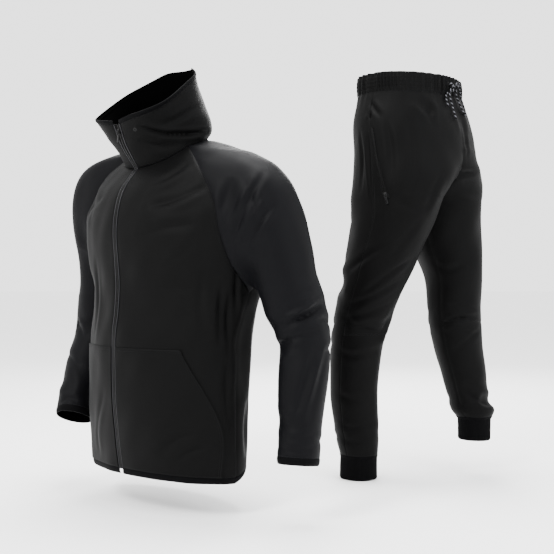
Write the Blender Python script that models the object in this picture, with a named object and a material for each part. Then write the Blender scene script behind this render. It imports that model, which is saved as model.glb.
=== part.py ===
"""Tracksuit: a zipped jacket with a hood, and jogger trousers, both hollow as if worn.

Run it with blender --background --python part.py. Lengths are metres and +Z is up.
The origin is the middle of the jacket's neck, where the wearer's shoulders hold it up.
Each garment is drawn in its own frame (x to the wearer's left, y to the back, z up) and
hangs on an empty that turns it as it stands. Every cut piece is a wall of cloth with its
own outer and inner face, and neighbours share the points of their seam.
"""

import math

import bmesh
import bpy
import numpy as np
from mathutils import Matrix, Vector

SEAM_GAP = 0.0003
SPLIT_DIRECTION = (0.31, 0.17, 0.93)
JERSEY = 0.0020
RIB = 0.0028
BINDING = 0.0024
TAPE = 0.0014
LAY_GAP = 0.0004

JACKET_TURN = math.radians(-45)
TROUSER_TURN = math.radians(50)
TROUSER_PLACE = (0.576, 0.290, 0.203)

# Body of the jacket, from the hem to the neck. Each row crosses the centre front, the seam
# at the end of the front, the seam at the start of the back, and the centre back. From the
# underarm up, those two seams are the front and back raglan lines. Turn is how many degrees
# the cloth bends from the centre to that seam, where 90 is a full quarter round.
BODY_COLUMNS = (
    "row front_y front_z front_seam_x front_seam_y front_seam_z front_turn"
    " back_seam_x back_seam_y back_seam_z back_turn back_y back_z"
).split()
BODY_SECTIONS = [
    (0.0, -0.101, -0.664, 0.214, 0.024, -0.672, 90, 0.214, 0.024, -0.672, 90, 0.134, -0.640),
    (1.0, -0.114, -0.565, 0.211, 0.026, -0.570, 90, 0.211, 0.026, -0.570, 90, 0.146, -0.550),
    (2.0, -0.120, -0.412, 0.206, 0.034, -0.415, 90, 0.206, 0.034, -0.415, 90, 0.166, -0.410),
    (3.0, -0.112, -0.345, 0.210, 0.044, -0.355, 90, 0.210, 0.044, -0.355, 90, 0.176, -0.340),
    (4.0, -0.109, -0.290, 0.218, 0.056, -0.305, 88, 0.218, 0.056, -0.305, 88, 0.184, -0.280),
    (5.0, -0.112, -0.240, 0.222, 0.002, -0.245, 76, 0.216, 0.112, -0.245, 76, 0.184, -0.215),
    (6.0, -0.118, -0.185, 0.217, -0.024, -0.182, 64, 0.205, 0.135, -0.175, 64, 0.180, -0.150),
    (7.0, -0.113, -0.138, 0.207, -0.030, -0.122, 60, 0.182, 0.138, -0.105, 60, 0.160, -0.085),
    (8.0, -0.095, -0.088, 0.158, -0.026, -0.050, 68, 0.125, 0.112, -0.030, 68, 0.122, -0.015),
    (9.0, -0.062, -0.045, 0.095, 0.000, 0.000, 88, 0.074, 0.068, 0.020, 80, 0.090, 0.030),
]
UNDERARM_ROW = 4.0
NECK_ROW = 9.0
ROWS_BETWEEN = (3, 4, 2, 2, 2, 2, 2, 2, 2)

ZIP_HALF_WIDTH = 0.0060
POCKET_COLUMN = 6
FRONT_COLUMNS = 9
BACK_COLUMNS = 7
NECK_COLUMNS = 3
# How far round the front the pocket's edge lies, as a share of the way to the side seam.
POCKET_EDGE = [(0.0, 0.84), (1.0, 0.85), (2.0, 0.54), (3.0, 0.60), (4.0, 0.64), (9.0, 0.66)]
POCKET_TOP_ROW = 2.0
POCKET_MARGIN = 0.0040
POCKET_LIFT = 0.0030

# Sleeves, from the armhole ring to the wrist: middle of the ring and its two half widths.
SLEEVE_COLUMNS = "share x y z half_across half_deep".split()
LEFT_SLEEVE = [
    (0.00, 0.305, 0.096, -0.322, 0.057, 0.068),
    (0.25, 0.324, 0.106, -0.395, 0.049, 0.056),
    (0.55, 0.332, 0.092, -0.480, 0.049, 0.052),
    (0.85, 0.340, 0.076, -0.575, 0.041, 0.045),
    (1.00, 0.342, 0.070, -0.620, 0.041, 0.044),
]
RIGHT_SLEEVE = [
    (0.00, 0.284, 0.056, -0.325, 0.052, 0.066),
    (0.25, 0.294, 0.046, -0.400, 0.050, 0.056),
    (0.55, 0.285, 0.012, -0.470, 0.049, 0.052),
    (0.85, 0.263, -0.030, -0.545, 0.041, 0.045),
    (1.00, 0.254, -0.045, -0.578, 0.041, 0.044),
]
SHOULDER_ROWS = 8
SHOULDER_FULLNESS = {"left": 1.40, "right": 1.60}
SHOULDER_LEAN = {"left": (1.0, 0.06, -0.02), "right": (1.0, -0.45, 0.16)}
ARM_ROWS = 8
SLEEVE_BINDING = 0.012
HEM_BINDING = 0.010

# Hood, round the neck from the centre front: reach and height of its fold and of its rim.
HOOD_COLUMNS = "angle fold_reach fold_z rim_reach rim_z".split()
HOOD_SECTIONS = [
    (0, 0.094, 0.000, 0.108, 0.040),
    (45, 0.100, 0.012, 0.132, 0.060),
    (90, 0.103, 0.040, 0.102, 0.128),
    (135, 0.109, 0.052, 0.072, 0.166),
    (180, 0.108, 0.058, 0.082, 0.174),
]
HOOD_ROWS = 8
HOOD_FOLD = 0.45
HOOD_CREASE = 0.0015
HOOD_BINDING = 0.007

# Trousers, from below the waistband to the crotch. Split is how far each half has turned
# into a round leg: 0 at a plain hip and 1 where the halves only touch.
HIP_COLUMNS = "z half_width front_depth back_depth middle_y split".split()
HIP_SECTIONS = [
    (-0.045, 0.159, 0.116, 0.106, 0.006, 0.00),
    (-0.110, 0.174, 0.134, 0.116, 0.002, 0.00),
    (-0.190, 0.180, 0.137, 0.119, -0.008, 0.10),
    (-0.250, 0.180, 0.130, 0.115, -0.013, 0.62),
    (-0.290, 0.180, 0.120, 0.112, -0.012, 1.00),
]
LEG_COLUMNS = "z x y half_width front_depth back_depth".split()
RIGHT_LEG = [
    (-0.290, 0.0900, -0.012, 0.0898, 0.120, 0.112),
    (-0.330, 0.0950, -0.014, 0.0880, 0.104, 0.110),
    (-0.400, 0.1060, 0.003, 0.0820, 0.092, 0.094),
    (-0.470, 0.1150, 0.024, 0.0750, 0.081, 0.081),
    (-0.560, 0.1190, 0.058, 0.0660, 0.069, 0.070),
    (-0.620, 0.1200, 0.074, 0.0620, 0.064, 0.065),
    (-0.700, 0.1200, 0.083, 0.0570, 0.059, 0.060),
    (-0.780, 0.1200, 0.085, 0.0540, 0.056, 0.056),
    (-0.860, 0.1200, 0.076, 0.0490, 0.051, 0.051),
    (-0.895, 0.1200, 0.072, 0.0450, 0.047, 0.047),
]
LEFT_LEG = [
    (-0.290, 0.0900, -0.012, 0.0898, 0.120, 0.112),
    (-0.330, 0.0950, -0.024, 0.0880, 0.104, 0.108),
    (-0.400, 0.1060, -0.036, 0.0790, 0.088, 0.090),
    (-0.470, 0.1150, -0.050, 0.0690, 0.073, 0.074),
    (-0.560, 0.1170, -0.052, 0.0650, 0.066, 0.066),
    (-0.630, 0.1190, -0.058, 0.0610, 0.062, 0.062),
    (-0.710, 0.1250, -0.074, 0.0550, 0.056, 0.056),
    (-0.780, 0.1290, -0.088, 0.0490, 0.050, 0.050),
    (-0.800, 0.1300, -0.095, 0.0500, 0.052, 0.052),
    (-0.816, 0.1300, -0.100, 0.0430, 0.045, 0.045),
]
HIP_ROWS = 8
THIGH_ROWS = 7
SHIN_ROWS = 9
KNEE_Z = {"left": -0.585, "right": -0.612}
LEG_SHARES = (1.0, 0.86, 0.72, 0.58, 0.44, 0.30, 0.16, 0.05, 0.0)
WAISTBAND_HEIGHT = 0.042
CUFF_HEIGHT = 0.056
CUFF_HALF_WIDTH = {"left": 0.0390, "right": 0.0430}
# The side pocket's zip, in rows and columns of the trousers' front panel.
POCKET_ZIP_ROWS = (2.8, 8.2)
POCKET_ZIP_COLUMNS = (7.45, 6.60)
POCKET_ZIP_WIDTH = 0.30

# Folds pressed into the cloth, each a trough between two points of its garment's frame.
FOLD_COLUMNS = "from_x from_y from_z to_x to_y to_z half_width depth".split()
FOLD_REACH = 0.030
JACKET_FOLDS = [
    (0.285, 0.050, -0.372, 0.368, 0.110, -0.325, 0.016, 0.0080),
    (0.290, 0.050, -0.415, 0.340, 0.050, -0.395, 0.014, 0.0040),
    (0.235, -0.010, -0.075, 0.245, -0.010, -0.180, 0.018, 0.0060),
    (0.285, 0.040, -0.135, 0.262, 0.010, -0.225, 0.018, 0.0060),
    (0.090, -0.100, -0.130, 0.170, -0.040, -0.085, 0.020, 0.0050),
    (0.205, 0.010, -0.300, 0.200, 0.010, -0.400, 0.018, 0.0050),
    (0.212, 0.060, -0.330, 0.208, 0.050, -0.520, 0.020, 0.0050),
    (0.205, 0.080, -0.520, 0.208, 0.070, -0.640, 0.018, 0.0050),
    (0.300, 0.040, -0.545, 0.375, 0.050, -0.560, 0.014, 0.0035),
    (-0.250, 0.010, -0.385, -0.320, 0.060, -0.350, 0.016, 0.0070),
    (-0.240, 0.000, -0.130, -0.250, -0.010, -0.210, 0.020, 0.0060),
    (-0.240, -0.080, -0.520, -0.290, -0.030, -0.505, 0.014, 0.0040),
    (-0.110, -0.100, -0.130, -0.170, -0.040, -0.100, 0.020, 0.0040),
    (-0.208, 0.050, -0.340, -0.206, 0.050, -0.560, 0.020, 0.0050),
    (-0.120, 0.170, -0.260, 0.110, 0.175, -0.300, 0.022, 0.0050),
    (-0.060, 0.165, -0.480, 0.150, 0.130, -0.430, 0.022, 0.0050),
]
TROUSER_FOLDS = [
    (-0.060, -0.060, -0.590, -0.180, 0.050, -0.600, 0.020, 0.0060),
    (-0.170, 0.100, -0.520, -0.100, -0.020, -0.560, 0.020, 0.0050),
    (-0.130, 0.150, -0.470, -0.180, 0.060, -0.500, 0.022, 0.0050),
    (-0.100, 0.160, -0.310, -0.060, 0.140, -0.330, 0.022, 0.0060),
    (0.060, 0.060, -0.330, 0.130, 0.110, -0.310, 0.022, 0.0060),
    (0.050, -0.060, -0.585, 0.180, -0.050, -0.570, 0.018, 0.0060),
    (0.120, 0.020, -0.545, 0.180, 0.010, -0.540, 0.020, 0.0050),
    (0.080, -0.160, -0.765, 0.180, -0.120, -0.785, 0.013, 0.0060),
    (0.070, -0.120, -0.740, 0.180, -0.070, -0.755, 0.014, 0.0040),
    (-0.070, 0.040, -0.840, -0.170, 0.100, -0.850, 0.016, 0.0040),
    (0.010, -0.135, -0.060, 0.020, -0.140, -0.140, 0.016, 0.0040),
    (-0.120, -0.100, -0.060, -0.090, -0.120, -0.100, 0.014, 0.0050),
    (0.020, -0.125, -0.245, 0.120, -0.135, -0.245, 0.018, 0.0040),
]

SLIDER_WIDTH = 0.0080
SLIDER_LENGTH = 0.0110
SLIDER_THICK = 0.0024
SLIDER_LIFT = 0.0007
BRIDGE_WIDTH = 0.0020
BRIDGE_SPAN = 0.0040
BRIDGE_POST = 0.0012
BRIDGE_RISE = 0.0026
TAB_WIDTH = 0.0056
TAB_THICK = 0.0014
TAB_LENGTH = 0.0210
TAB_WINDOW = 0.0062
TAB_PLAY = 0.0005
SLIDER_ROW = 6.4
HOOD_EYELET_ROW = 5

EYELET_SIDES = 16
HOOD_EYELET = 0.0042
WAIST_EYELET = 0.0050
WAIST_EYELET_X = 0.014
WAIST_EYELET_Z = -0.0200
WAISTBAND_TOP = 0.0
TAPE_LIFT = 0.0004

# The drawstring, in the trousers' frame: across, height, and its middle's height off the cloth.
CORD = 0.0036
DRAWSTRING_SHORT = [
    (-0.0140, -0.0200, 0.0035),
    (-0.0125, -0.0205, 0.0085),
    (-0.0060, -0.0240, 0.0110),
    (-0.0030, -0.0320, 0.0100),
    (-0.0090, -0.0390, 0.0070),
    (-0.0180, -0.0420, 0.0048),
    (-0.0270, -0.0470, 0.0040),
    (-0.0320, -0.0570, 0.0040),
    (-0.0340, -0.0680, 0.0042),
    (-0.0335, -0.0790, 0.0042),
]
DRAWSTRING_LONG = [
    (0.0140, -0.0200, 0.0035),
    (0.0130, -0.0210, 0.0090),
    (0.0075, -0.0245, 0.0150),
    (0.0020, -0.0300, 0.0160),
    (0.0060, -0.0370, 0.0100),
    (0.0160, -0.0480, 0.0055),
    (0.0240, -0.0660, 0.0045),
    (0.0330, -0.0850, 0.0045),
    (0.0440, -0.0880, 0.0045),
    (0.0500, -0.0750, 0.0045),
    (0.0460, -0.0560, 0.0055),
    (0.0340, -0.0400, 0.0085),
    (0.0200, -0.0300, 0.0120),
    (0.0060, -0.0200, 0.0190),
    (-0.0080, -0.0220, 0.0160),
    (-0.0170, -0.0330, 0.0110),
    (-0.0190, -0.0520, 0.0065),
    (-0.0180, -0.0720, 0.0048),
    (-0.0190, -0.0900, 0.0046),
    (-0.0185, -0.1080, 0.0046),
]
CORD_POINTS = {"drawstring_right": 14, "drawstring_left": 40}


def table_at(rows, at):
    """Smooth values between the rows of a table, one dictionary-like array per column."""
    rows = np.array(rows, float)
    key, columns = rows[:, 0], rows[:, 1:]
    slopes = np.gradient(columns, key, axis=0)
    at = np.clip(np.atleast_1d(np.array(at, float)), key[0], key[-1])
    step = np.clip(np.searchsorted(key, at, side="right") - 1, 0, len(key) - 2)
    width = key[step + 1] - key[step]
    t = ((at - key[step]) / width)[:, None]
    before, after = columns[step], columns[step + 1]
    leaving = slopes[step] * width[:, None]
    arriving = slopes[step + 1] * width[:, None]
    return (
        (2 * t**3 - 3 * t**2 + 1) * before
        + (t**3 - 2 * t**2 + t) * leaving
        + (3 * t**2 - 2 * t**3) * after
        + (t**3 - t**2) * arriving
    ).T


def named(columns, rows, at):
    """The table's columns by name at these places."""
    return dict(zip(columns[1:], table_at(rows, at)))


def hermite(start, start_pull, end, end_pull, t):
    return (
        (2 * t**3 - 3 * t**2 + 1) * start
        + (t**3 - 2 * t**2 + t) * start_pull
        + (3 * t**2 - 2 * t**3) * end
        + (t**3 - t**2) * end_pull
    )


def unit(vectors):
    length = np.linalg.norm(vectors, axis=-1, keepdims=True)
    return vectors / np.maximum(length, 1e-12)


def body_rows():
    rows = [0.0]
    for step, count in enumerate(ROWS_BETWEEN):
        rows += [step + (i + 1) / count for i in range(count)]
    return np.array(rows)


def arc(centre_y, centre_z, seam, turn, share):
    """Points from a centre line (share 0) round to a seam (share 1), bending by turn."""
    end = np.radians(turn)[:, None]
    angle = share * end
    x = seam[0][:, None] * np.sin(angle) / np.sin(end)
    reach = (np.cos(angle) - np.cos(end)) / (1 - np.cos(end))
    y = seam[1][:, None] + (centre_y - seam[1])[:, None] * reach
    z = centre_z[:, None] + (seam[2] - centre_z)[:, None] * (1 - reach)
    return np.stack([x, y, z], axis=-1)


def body_at(rows):
    """The body's columns, with one side seam for front and back up to the underarm."""
    at = named(BODY_COLUMNS, BODY_SECTIONS, rows)
    joined = rows <= UNDERARM_ROW + 1e-9
    for column in ("seam_x", "seam_y", "seam_z"):
        front, back = at[f"front_{column}"], at[f"back_{column}"]
        middle = (front + back) / 2
        at[f"front_{column}"] = np.where(joined, middle, front)
        at[f"back_{column}"] = np.where(joined, middle, back)
    return at


def front_grid(rows):
    """The left front: rows from hem to neck, columns from the zip to the side and raglan."""
    at = body_at(rows)
    seam = (at["front_seam_x"], at["front_seam_y"], at["front_seam_z"])
    zip_share = np.arcsin(
        np.clip(ZIP_HALF_WIDTH * np.sin(np.radians(at["front_turn"])) / seam[0], 0, 1)
    ) / np.radians(at["front_turn"])
    edge = table_at(POCKET_EDGE, rows)[0]
    inside = np.linspace(0, 1, POCKET_COLUMN + 1)[None, :]
    outside = np.linspace(0, 1, FRONT_COLUMNS - POCKET_COLUMN + 1)[None, 1:]
    share = np.concatenate(
        [
            zip_share[:, None] + (edge - zip_share)[:, None] * inside,
            edge[:, None] + (1 - edge)[:, None] * outside,
        ],
        axis=1,
    )
    tape = np.stack([np.zeros_like(zip_share), zip_share], axis=1)
    front = arc(at["front_y"], at["front_z"], seam, at["front_turn"], share)
    zip_tape = arc(at["front_y"], at["front_z"], seam, at["front_turn"], tape)
    return front, zip_tape


def back_grid(rows):
    """The left half of the back: columns from the side and raglan seam to the centre."""
    at = body_at(rows)
    seam = (at["back_seam_x"], at["back_seam_y"], at["back_seam_z"])
    share = np.linspace(1, 0, BACK_COLUMNS + 1)[None, :] * np.ones((len(rows), 1))
    return arc(at["back_y"], at["back_z"], seam, at["back_turn"], share)


def armhole(front, back, rows):
    """The closed seam a sleeve starts from: underarm, front raglan, neck, back raglan."""
    upper = rows >= UNDERARM_ROW - 1e-9
    front_line = front[upper, -1]
    back_line = back[upper, 0]
    start, end = front_line[-1], back_line[-1]
    lean = np.array([0.020, 0.050, 0.010])
    t = np.linspace(0, 1, NECK_COLUMNS + 1)[1:-1, None]
    neck = hermite(start, lean * (1, 1, 1), end, lean * (-1, 1, 1), t)
    loop = np.concatenate([front_line, neck, back_line[::-1][:-1]])
    return loop, np.concatenate([[start], neck, [end]])


def mirrored(grid):
    """The same points on the wearer's other side, kept facing out."""
    return (grid * np.array([-1.0, 1.0, 1.0]))[:, ::-1]


def seam_directions(front, back, rows, lean):
    """Which way the body's cloth runs where it reaches the armhole, for each loop point."""
    upper = rows >= UNDERARM_ROW - 1e-9
    leaving_front = unit(front[upper, -1] - front[upper, -2])
    leaving_back = unit(back[upper, 0] - back[upper, 1])
    shoulder = unit(np.array([lean])) * np.ones((NECK_COLUMNS - 1, 1))
    return np.concatenate([leaving_front, shoulder, leaving_back[::-1][:-1]])


def sleeve_grid(loop, leaving, table, fullness, lean):
    """A sleeve for the left side: from the armhole loop down to the wrist."""
    count = len(loop)
    around = np.linspace(0, 2 * np.pi, count, endpoint=False)
    shares = np.linspace(0, 1, ARM_ROWS + 1)
    at = named(SLEEVE_COLUMNS, table, shares)
    middle = np.stack([at["x"], at["y"], at["z"]], axis=1)
    along = unit(np.gradient(middle, axis=0))
    inward = np.array([-1.0, 0.0, 0.0])
    across = unit(inward - along * (along @ inward)[:, None])
    deep = unit(np.cross(across, along))
    deep *= np.sign(-deep[:, 1:2])
    rings = (
        middle[:, None]
        + np.cos(around)[None, :, None] * (across * at["half_across"][:, None])[:, None]
        + np.sin(around)[None, :, None] * (deep * at["half_deep"][:, None])[:, None]
    )
    chord = np.linalg.norm(rings[0] - loop, axis=1, keepdims=True)
    toward = unit(rings[0] - loop)
    climb = (loop[:, 2:] - loop[0, 2]) / np.ptp(loop[:, 2])
    shoulder = unit(np.array([lean]))
    outward = 0.5 + 0.5 * climb
    leaving = unit(leaving * (1 - outward) + shoulder * outward)
    start_pull = (0.4 * toward + (0.45 + fullness * climb) * leaving) * chord
    end_pull = along[0] * chord * (1.0 + 0.35 * climb)
    t = np.linspace(0, 1, SHOULDER_ROWS + 1)[:-1, None, None]
    shoulder = hermite(loop[None], start_pull[None], rings[0][None], end_pull[None], t)
    return np.concatenate([shoulder, rings])


def hood_grid(bottom):
    """The left half of the hood, from the neck seam (row 0) up to its rim."""
    angle = np.degrees(np.arctan2(bottom[:, 0], -bottom[:, 1]))
    at = named(HOOD_COLUMNS, HOOD_SECTIONS, angle)
    away = np.stack([np.sin(np.radians(angle)), -np.cos(np.radians(angle))], axis=1)
    fold = np.concatenate([away * at["fold_reach"][:, None], at["fold_z"][:, None]], axis=1)
    rim = np.concatenate([away * at["rim_reach"][:, None], at["rim_z"][:, None]], axis=1)
    slope = (rim - bottom) * HOOD_FOLD
    low = np.linspace(0, 1, 4)[:, None, None]
    high = np.linspace(0, 1, HOOD_ROWS - 2)[1:, None, None]
    lower = hermite(bottom[None], (fold - bottom)[None], fold[None], slope[None], low)
    upper_slope = slope * (1 - HOOD_FOLD) / HOOD_FOLD
    upper = hermite(fold[None], upper_slope[None], rim[None], (rim - fold)[None], high)
    level = np.concatenate([away, np.zeros((len(away), 1))], axis=1)
    depth = HOOD_CREASE * np.sin(np.radians(np.clip(angle, 0, 180)))
    lower[2] -= level * depth[:, None]
    upper[0] += level * depth[:, None]
    return np.concatenate([lower, upper])


def leg_ring(at, shares, front):
    """Points of a clipped ellipse: from the middle line (share 1) to the outside (share 0)."""
    split = at["split"][:, None]
    end = np.arccos(-split)
    angle = end * np.array(shares)[None, :]
    depth = at["front_depth"] if front else at["back_depth"]
    side = -1 if front else 1
    x = at["x"][:, None] + at["half_width"][:, None] * np.cos(angle)
    y = at["y"][:, None] + side * depth[:, None] * np.sin(angle)
    z = at["z"][:, None] * np.ones_like(x)
    return np.stack([x, y, z], axis=-1)


def leg_sections(table, knee):
    """Every row of one trouser leg, from the waistband down, as named columns."""
    hip_z = np.linspace(HIP_SECTIONS[0][0], HIP_SECTIONS[-1][0], HIP_ROWS + 1)
    hip = named(HIP_COLUMNS, sorted(HIP_SECTIONS), hip_z)
    split = np.clip(hip["split"], 0, 1)
    split[-1] = 1.0
    half = hip["half_width"] / (1 + split)
    low = np.concatenate(
        [
            np.linspace(hip_z[-1], knee, THIGH_ROWS + 1)[1:],
            np.linspace(knee, table[-1][0], SHIN_ROWS + 1)[1:],
        ]
    )
    leg = named(LEG_COLUMNS, sorted(table), low)
    ones = np.ones(len(low))
    return {
        "z": np.concatenate([hip_z, low]),
        "x": np.concatenate([half * split, leg["x"]]),
        "y": np.concatenate([hip["middle_y"], leg["y"]]),
        "half_width": np.concatenate([half, leg["half_width"]]),
        "front_depth": np.concatenate([hip["front_depth"], leg["front_depth"]]),
        "back_depth": np.concatenate([hip["back_depth"], leg["back_depth"]]),
        "split": np.concatenate([split, ones]),
    }


def between(grid, rows, columns):
    """The points of a grid at these fractions of its rows and columns, corner to corner."""
    i = np.clip(np.floor(rows).astype(int), 0, grid.shape[0] - 2)
    j = np.clip(np.floor(columns).astype(int), 0, grid.shape[1] - 2)
    u, v = (rows - i)[..., None], (columns - j)[..., None]
    near = grid[i, j] * (1 - v) + grid[i, j + 1] * v
    far = grid[i + 1, j] * (1 - v) + grid[i + 1, j + 1] * v
    return near * (1 - u) + far * u


def facing_of(grid, closed):
    """Which way each point of one sheet faces, from the cells round it."""
    here = grid if closed else grid[:, :-1]
    beside = np.roll(grid, -1, axis=1) if closed else grid[:, 1:]
    cells = np.cross(beside[1:] - here[:-1], here[1:] - beside[:-1])
    total = np.zeros_like(grid)
    for rows in (slice(None, -1), slice(1, None)):
        if closed:
            total[rows] += cells + np.roll(cells, 1, axis=1)
        else:
            total[rows, :-1] += cells
            total[rows, 1:] += cells
    return unit(total)


class Garment:
    """Collects the outer faces of all pieces, so that neighbours share seam directions."""

    def __init__(self, name, place, turn):
        self.frame = bpy.data.objects.new(name, None)
        bpy.context.scene.collection.objects.link(self.frame)
        self.frame.location = place
        self.frame.rotation_euler = (0, 0, turn)
        self.sheets = {}
        self.facing = {}

    @staticmethod
    def key(point):
        return tuple(np.round(point * 1e5).astype(int))

    def add(self, name, grid, closed=False):
        self.sheets[name] = (grid, closed)

    def settle(self):
        """Averages the directions of the faces that meet at each point of the cloth."""
        self.facing = {}
        for grid, closed in self.sheets.values():
            for point, normal in zip(grid.reshape(-1, 3), facing_of(grid, closed).reshape(-1, 3)):
                key = self.key(point)
                self.facing[key] = self.facing.get(key, 0) + normal

    def directions(self, grid):
        flat = grid.reshape(-1, 3)
        found = np.array([self.facing[self.key(p)] for p in flat])
        return unit(found).reshape(grid.shape)


    def crease(self, folds):
        """Presses soft troughs into the cloth and lifts it a little on either side."""
        for name, (grid, closed) in self.sheets.items():
            facing = self.directions(grid)
            shift = np.zeros(grid.shape[:2])
            for row in folds:
                fold = dict(zip(FOLD_COLUMNS, row))
                start = np.array([fold["from_x"], fold["from_y"], fold["from_z"]])
                run = np.array([fold["to_x"], fold["to_y"], fold["to_z"]]) - start
                along = np.clip((grid - start) @ run / (run @ run), 0, 1)
                off = grid - start - along[..., None] * run
                proud = (off * facing).sum(axis=-1, keepdims=True)
                aside = np.linalg.norm(off - proud * facing, axis=-1) / fold["half_width"]
                near = np.abs(proud[..., 0]) < FOLD_REACH
                ends = np.sin(np.pi * np.clip(along, 0.08, 0.92)) ** 0.5
                trough = np.exp(-(aside**2)) - 0.45 * np.exp(-((aside - 1.6) ** 2) / 0.4)
                shift += np.where(near, fold["depth"] * ends * trough, 0)
            self.sheets[name] = (grid - shift[..., None] * facing, closed)


def off_edge(edge, inner, closed):
    """Unit directions from an edge towards the next line of points, square to the edge."""
    if closed:
        run = np.roll(edge, -1, axis=0) - np.roll(edge, 1, axis=0)
    else:
        run = np.gradient(edge, axis=0)
    run = unit(run)
    step = inner - edge
    return unit(step - run * (step * run).sum(axis=-1, keepdims=True))


def drawn_in(grid, closed, gap):
    """Moves the free edges of a sheet inwards by half a seam gap."""
    moved = grid.copy()
    moved[0] += off_edge(grid[0], grid[1], closed) * gap / 2
    moved[-1] += off_edge(grid[-1], grid[-2], closed) * gap / 2
    if not closed:
        moved[:, 0] += off_edge(grid[:, 0], grid[:, 1], False) * gap / 2
        moved[:, -1] += off_edge(grid[:, -1], grid[:, -2], False) * gap / 2
    return moved


def cloth_wall(name, outer, inner, closed, material, parent):
    """A closed solid between two faces of the same grid, with its edges turned in."""
    rows, columns = outer.shape[:2]
    points = np.concatenate([outer.reshape(-1, 3), inner.reshape(-1, 3)])
    lift = rows * columns
    faces = []

    def at(i, j):
        return i * columns + j % columns

    def apart(a, b):
        return np.linalg.norm(points[a] - points[b])

    spans = columns if closed else columns - 1
    for i in range(rows - 1):
        for j in range(spans):
            a, b, c, d = at(i, j), at(i, j + 1), at(i + 1, j + 1), at(i + 1, j)
            if apart(a, c) <= apart(b, d):
                pair = [(a, b, c), (a, c, d)]
            else:
                pair = [(a, b, d), (b, c, d)]
            faces += pair
            faces += [tuple(k + lift for k in face[::-1]) for face in pair]

    def edge_faces(a, b, flip):
        """The wall's edge, split the same way as the neighbour's across the seam."""
        if points[a] @ SPLIT_DIRECTION > points[b] @ SPLIT_DIRECTION:
            pair = [(b, a, b + lift), (a, a + lift, b + lift)]
        else:
            pair = [(b, a, a + lift), (b, a + lift, b + lift)]
        return [face[::-1] for face in pair] if flip else pair

    for j in range(spans):
        faces += edge_faces(at(0, j), at(0, j + 1), False)
        faces += edge_faces(at(rows - 1, j), at(rows - 1, j + 1), True)
    if not closed:
        for i in range(rows - 1):
            faces += edge_faces(at(i, 0), at(i + 1, 0), True)
            faces += edge_faces(at(i, 0) + columns - 1, at(i + 1, 0) + columns - 1, False)
    mesh = bpy.data.meshes.new(name)
    mesh.from_pydata([tuple(p) for p in points], [], faces)
    mesh.shade_smooth()
    mesh.materials.append(material)
    piece = bpy.data.objects.new(name, mesh)
    bpy.context.scene.collection.objects.link(piece)
    piece.parent = parent
    return piece


def sew(garment, name, thickness, material, raised=0.0):
    """Turns one sheet of the garment into its solid wall."""
    grid, closed = garment.sheets[name]
    facing = garment.directions(grid)
    drawn = drawn_in(grid, closed, SEAM_GAP)
    outer = drawn + facing * raised
    inner = drawn + facing * (raised - thickness)
    return cloth_wall(name, outer, inner, closed, material, garment.frame)


def lay_on(garment, name, grid, facing, thickness, material, lift=0.0):
    """A piece that lies on a panel: the panel's own points, moved out."""
    low = grid + facing * (LAY_GAP + lift)
    outer = low + facing * thickness
    return cloth_wall(name, outer, low, False, material, garment.frame)


def block_solid(name, steps, filled, material):
    """A closed solid of the filled cells between the steps along x, y and z."""
    mesh = bmesh.new()
    corners = {}

    def corner(index):
        if index not in corners:
            corners[index] = mesh.verts.new([steps[k][index[k]] for k in range(3)])
        return corners[index]

    for cell in sorted(filled):
        for axis in range(3):
            for side in (0, 1):
                beyond = list(cell)
                beyond[axis] += 1 if side else -1
                if tuple(beyond) in filled:
                    continue
                across, up = (axis + 1) % 3, (axis + 2) % 3
                square = [(0, 0), (1, 0), (1, 1), (0, 1)]
                face = []
                for first, second in square if side else square[::-1]:
                    index = list(cell)
                    index[axis] += side
                    index[across] += first
                    index[up] += second
                    face.append(corner(tuple(index)))
                mesh.faces.new(face)
    data = bpy.data.meshes.new(name)
    mesh.to_mesh(data)
    mesh.free()
    data.materials.append(material)
    piece = bpy.data.objects.new(name, data)
    bpy.context.scene.collection.objects.link(piece)
    return piece


def axes_matrix(place, across, up, out):
    """Turns a piece so that its x, y and z lie along these directions."""
    matrix = Matrix((across, up, out)).transposed().to_4x4()
    matrix.translation = place
    return matrix


def build_puller(garment, name, place, up, out, material):
    """A zip slider with a bridge, and the pull tab that swings on it."""
    out = Vector(unit(np.array(out)))
    up = Vector(up)
    up = (up - out * up.dot(out)).normalized()
    across = up.cross(out)
    half, bridge, length = SLIDER_WIDTH / 2, BRIDGE_WIDTH / 2, SLIDER_LENGTH / 2
    post = BRIDGE_POST
    steps = (
        (-half, -bridge, bridge, half),
        (-length, -BRIDGE_SPAN / 2 - post, -BRIDGE_SPAN / 2, BRIDGE_SPAN / 2)
        + (BRIDGE_SPAN / 2 + post, length),
        (0.0, SLIDER_THICK, SLIDER_THICK + BRIDGE_RISE, SLIDER_THICK + BRIDGE_RISE + post),
    )
    filled = {(i, j, 0) for i in range(3) for j in range(5)}
    filled |= {(1, 1, 1), (1, 3, 1), (1, 1, 2), (1, 2, 2), (1, 3, 2)}
    slider = block_solid(f"{name}_slider", steps, filled, material)
    base = Vector(place) + out * SLIDER_LIFT
    slider.parent = garment.frame
    slider.matrix_local = axes_matrix(base, across, up, out)

    bar, wide, inner = TAB_THICK / 2, TAB_WIDTH / 2, bridge + TAB_PLAY
    steps = (
        (-wide, -inner, inner, wide),
        (-TAB_LENGTH, -TAB_WINDOW, -bar, bar),
        (-bar, bar),
    )
    filled = {(i, j, 0) for i in range(3) for j in range(3)} - {(1, 1, 0)}
    tab = block_solid(f"{name}_pull_tab", steps, filled, material)
    pivot = base + out * (SLIDER_THICK + BRIDGE_RISE / 2)
    tab.parent = garment.frame
    if out.z < 0:
        # The cloth leans forward here, so the tab hangs straight down, clear of it.
        up = Vector((0, 0, 1))
    tab.matrix_local = axes_matrix(pivot, across, up, across.cross(up))


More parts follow.
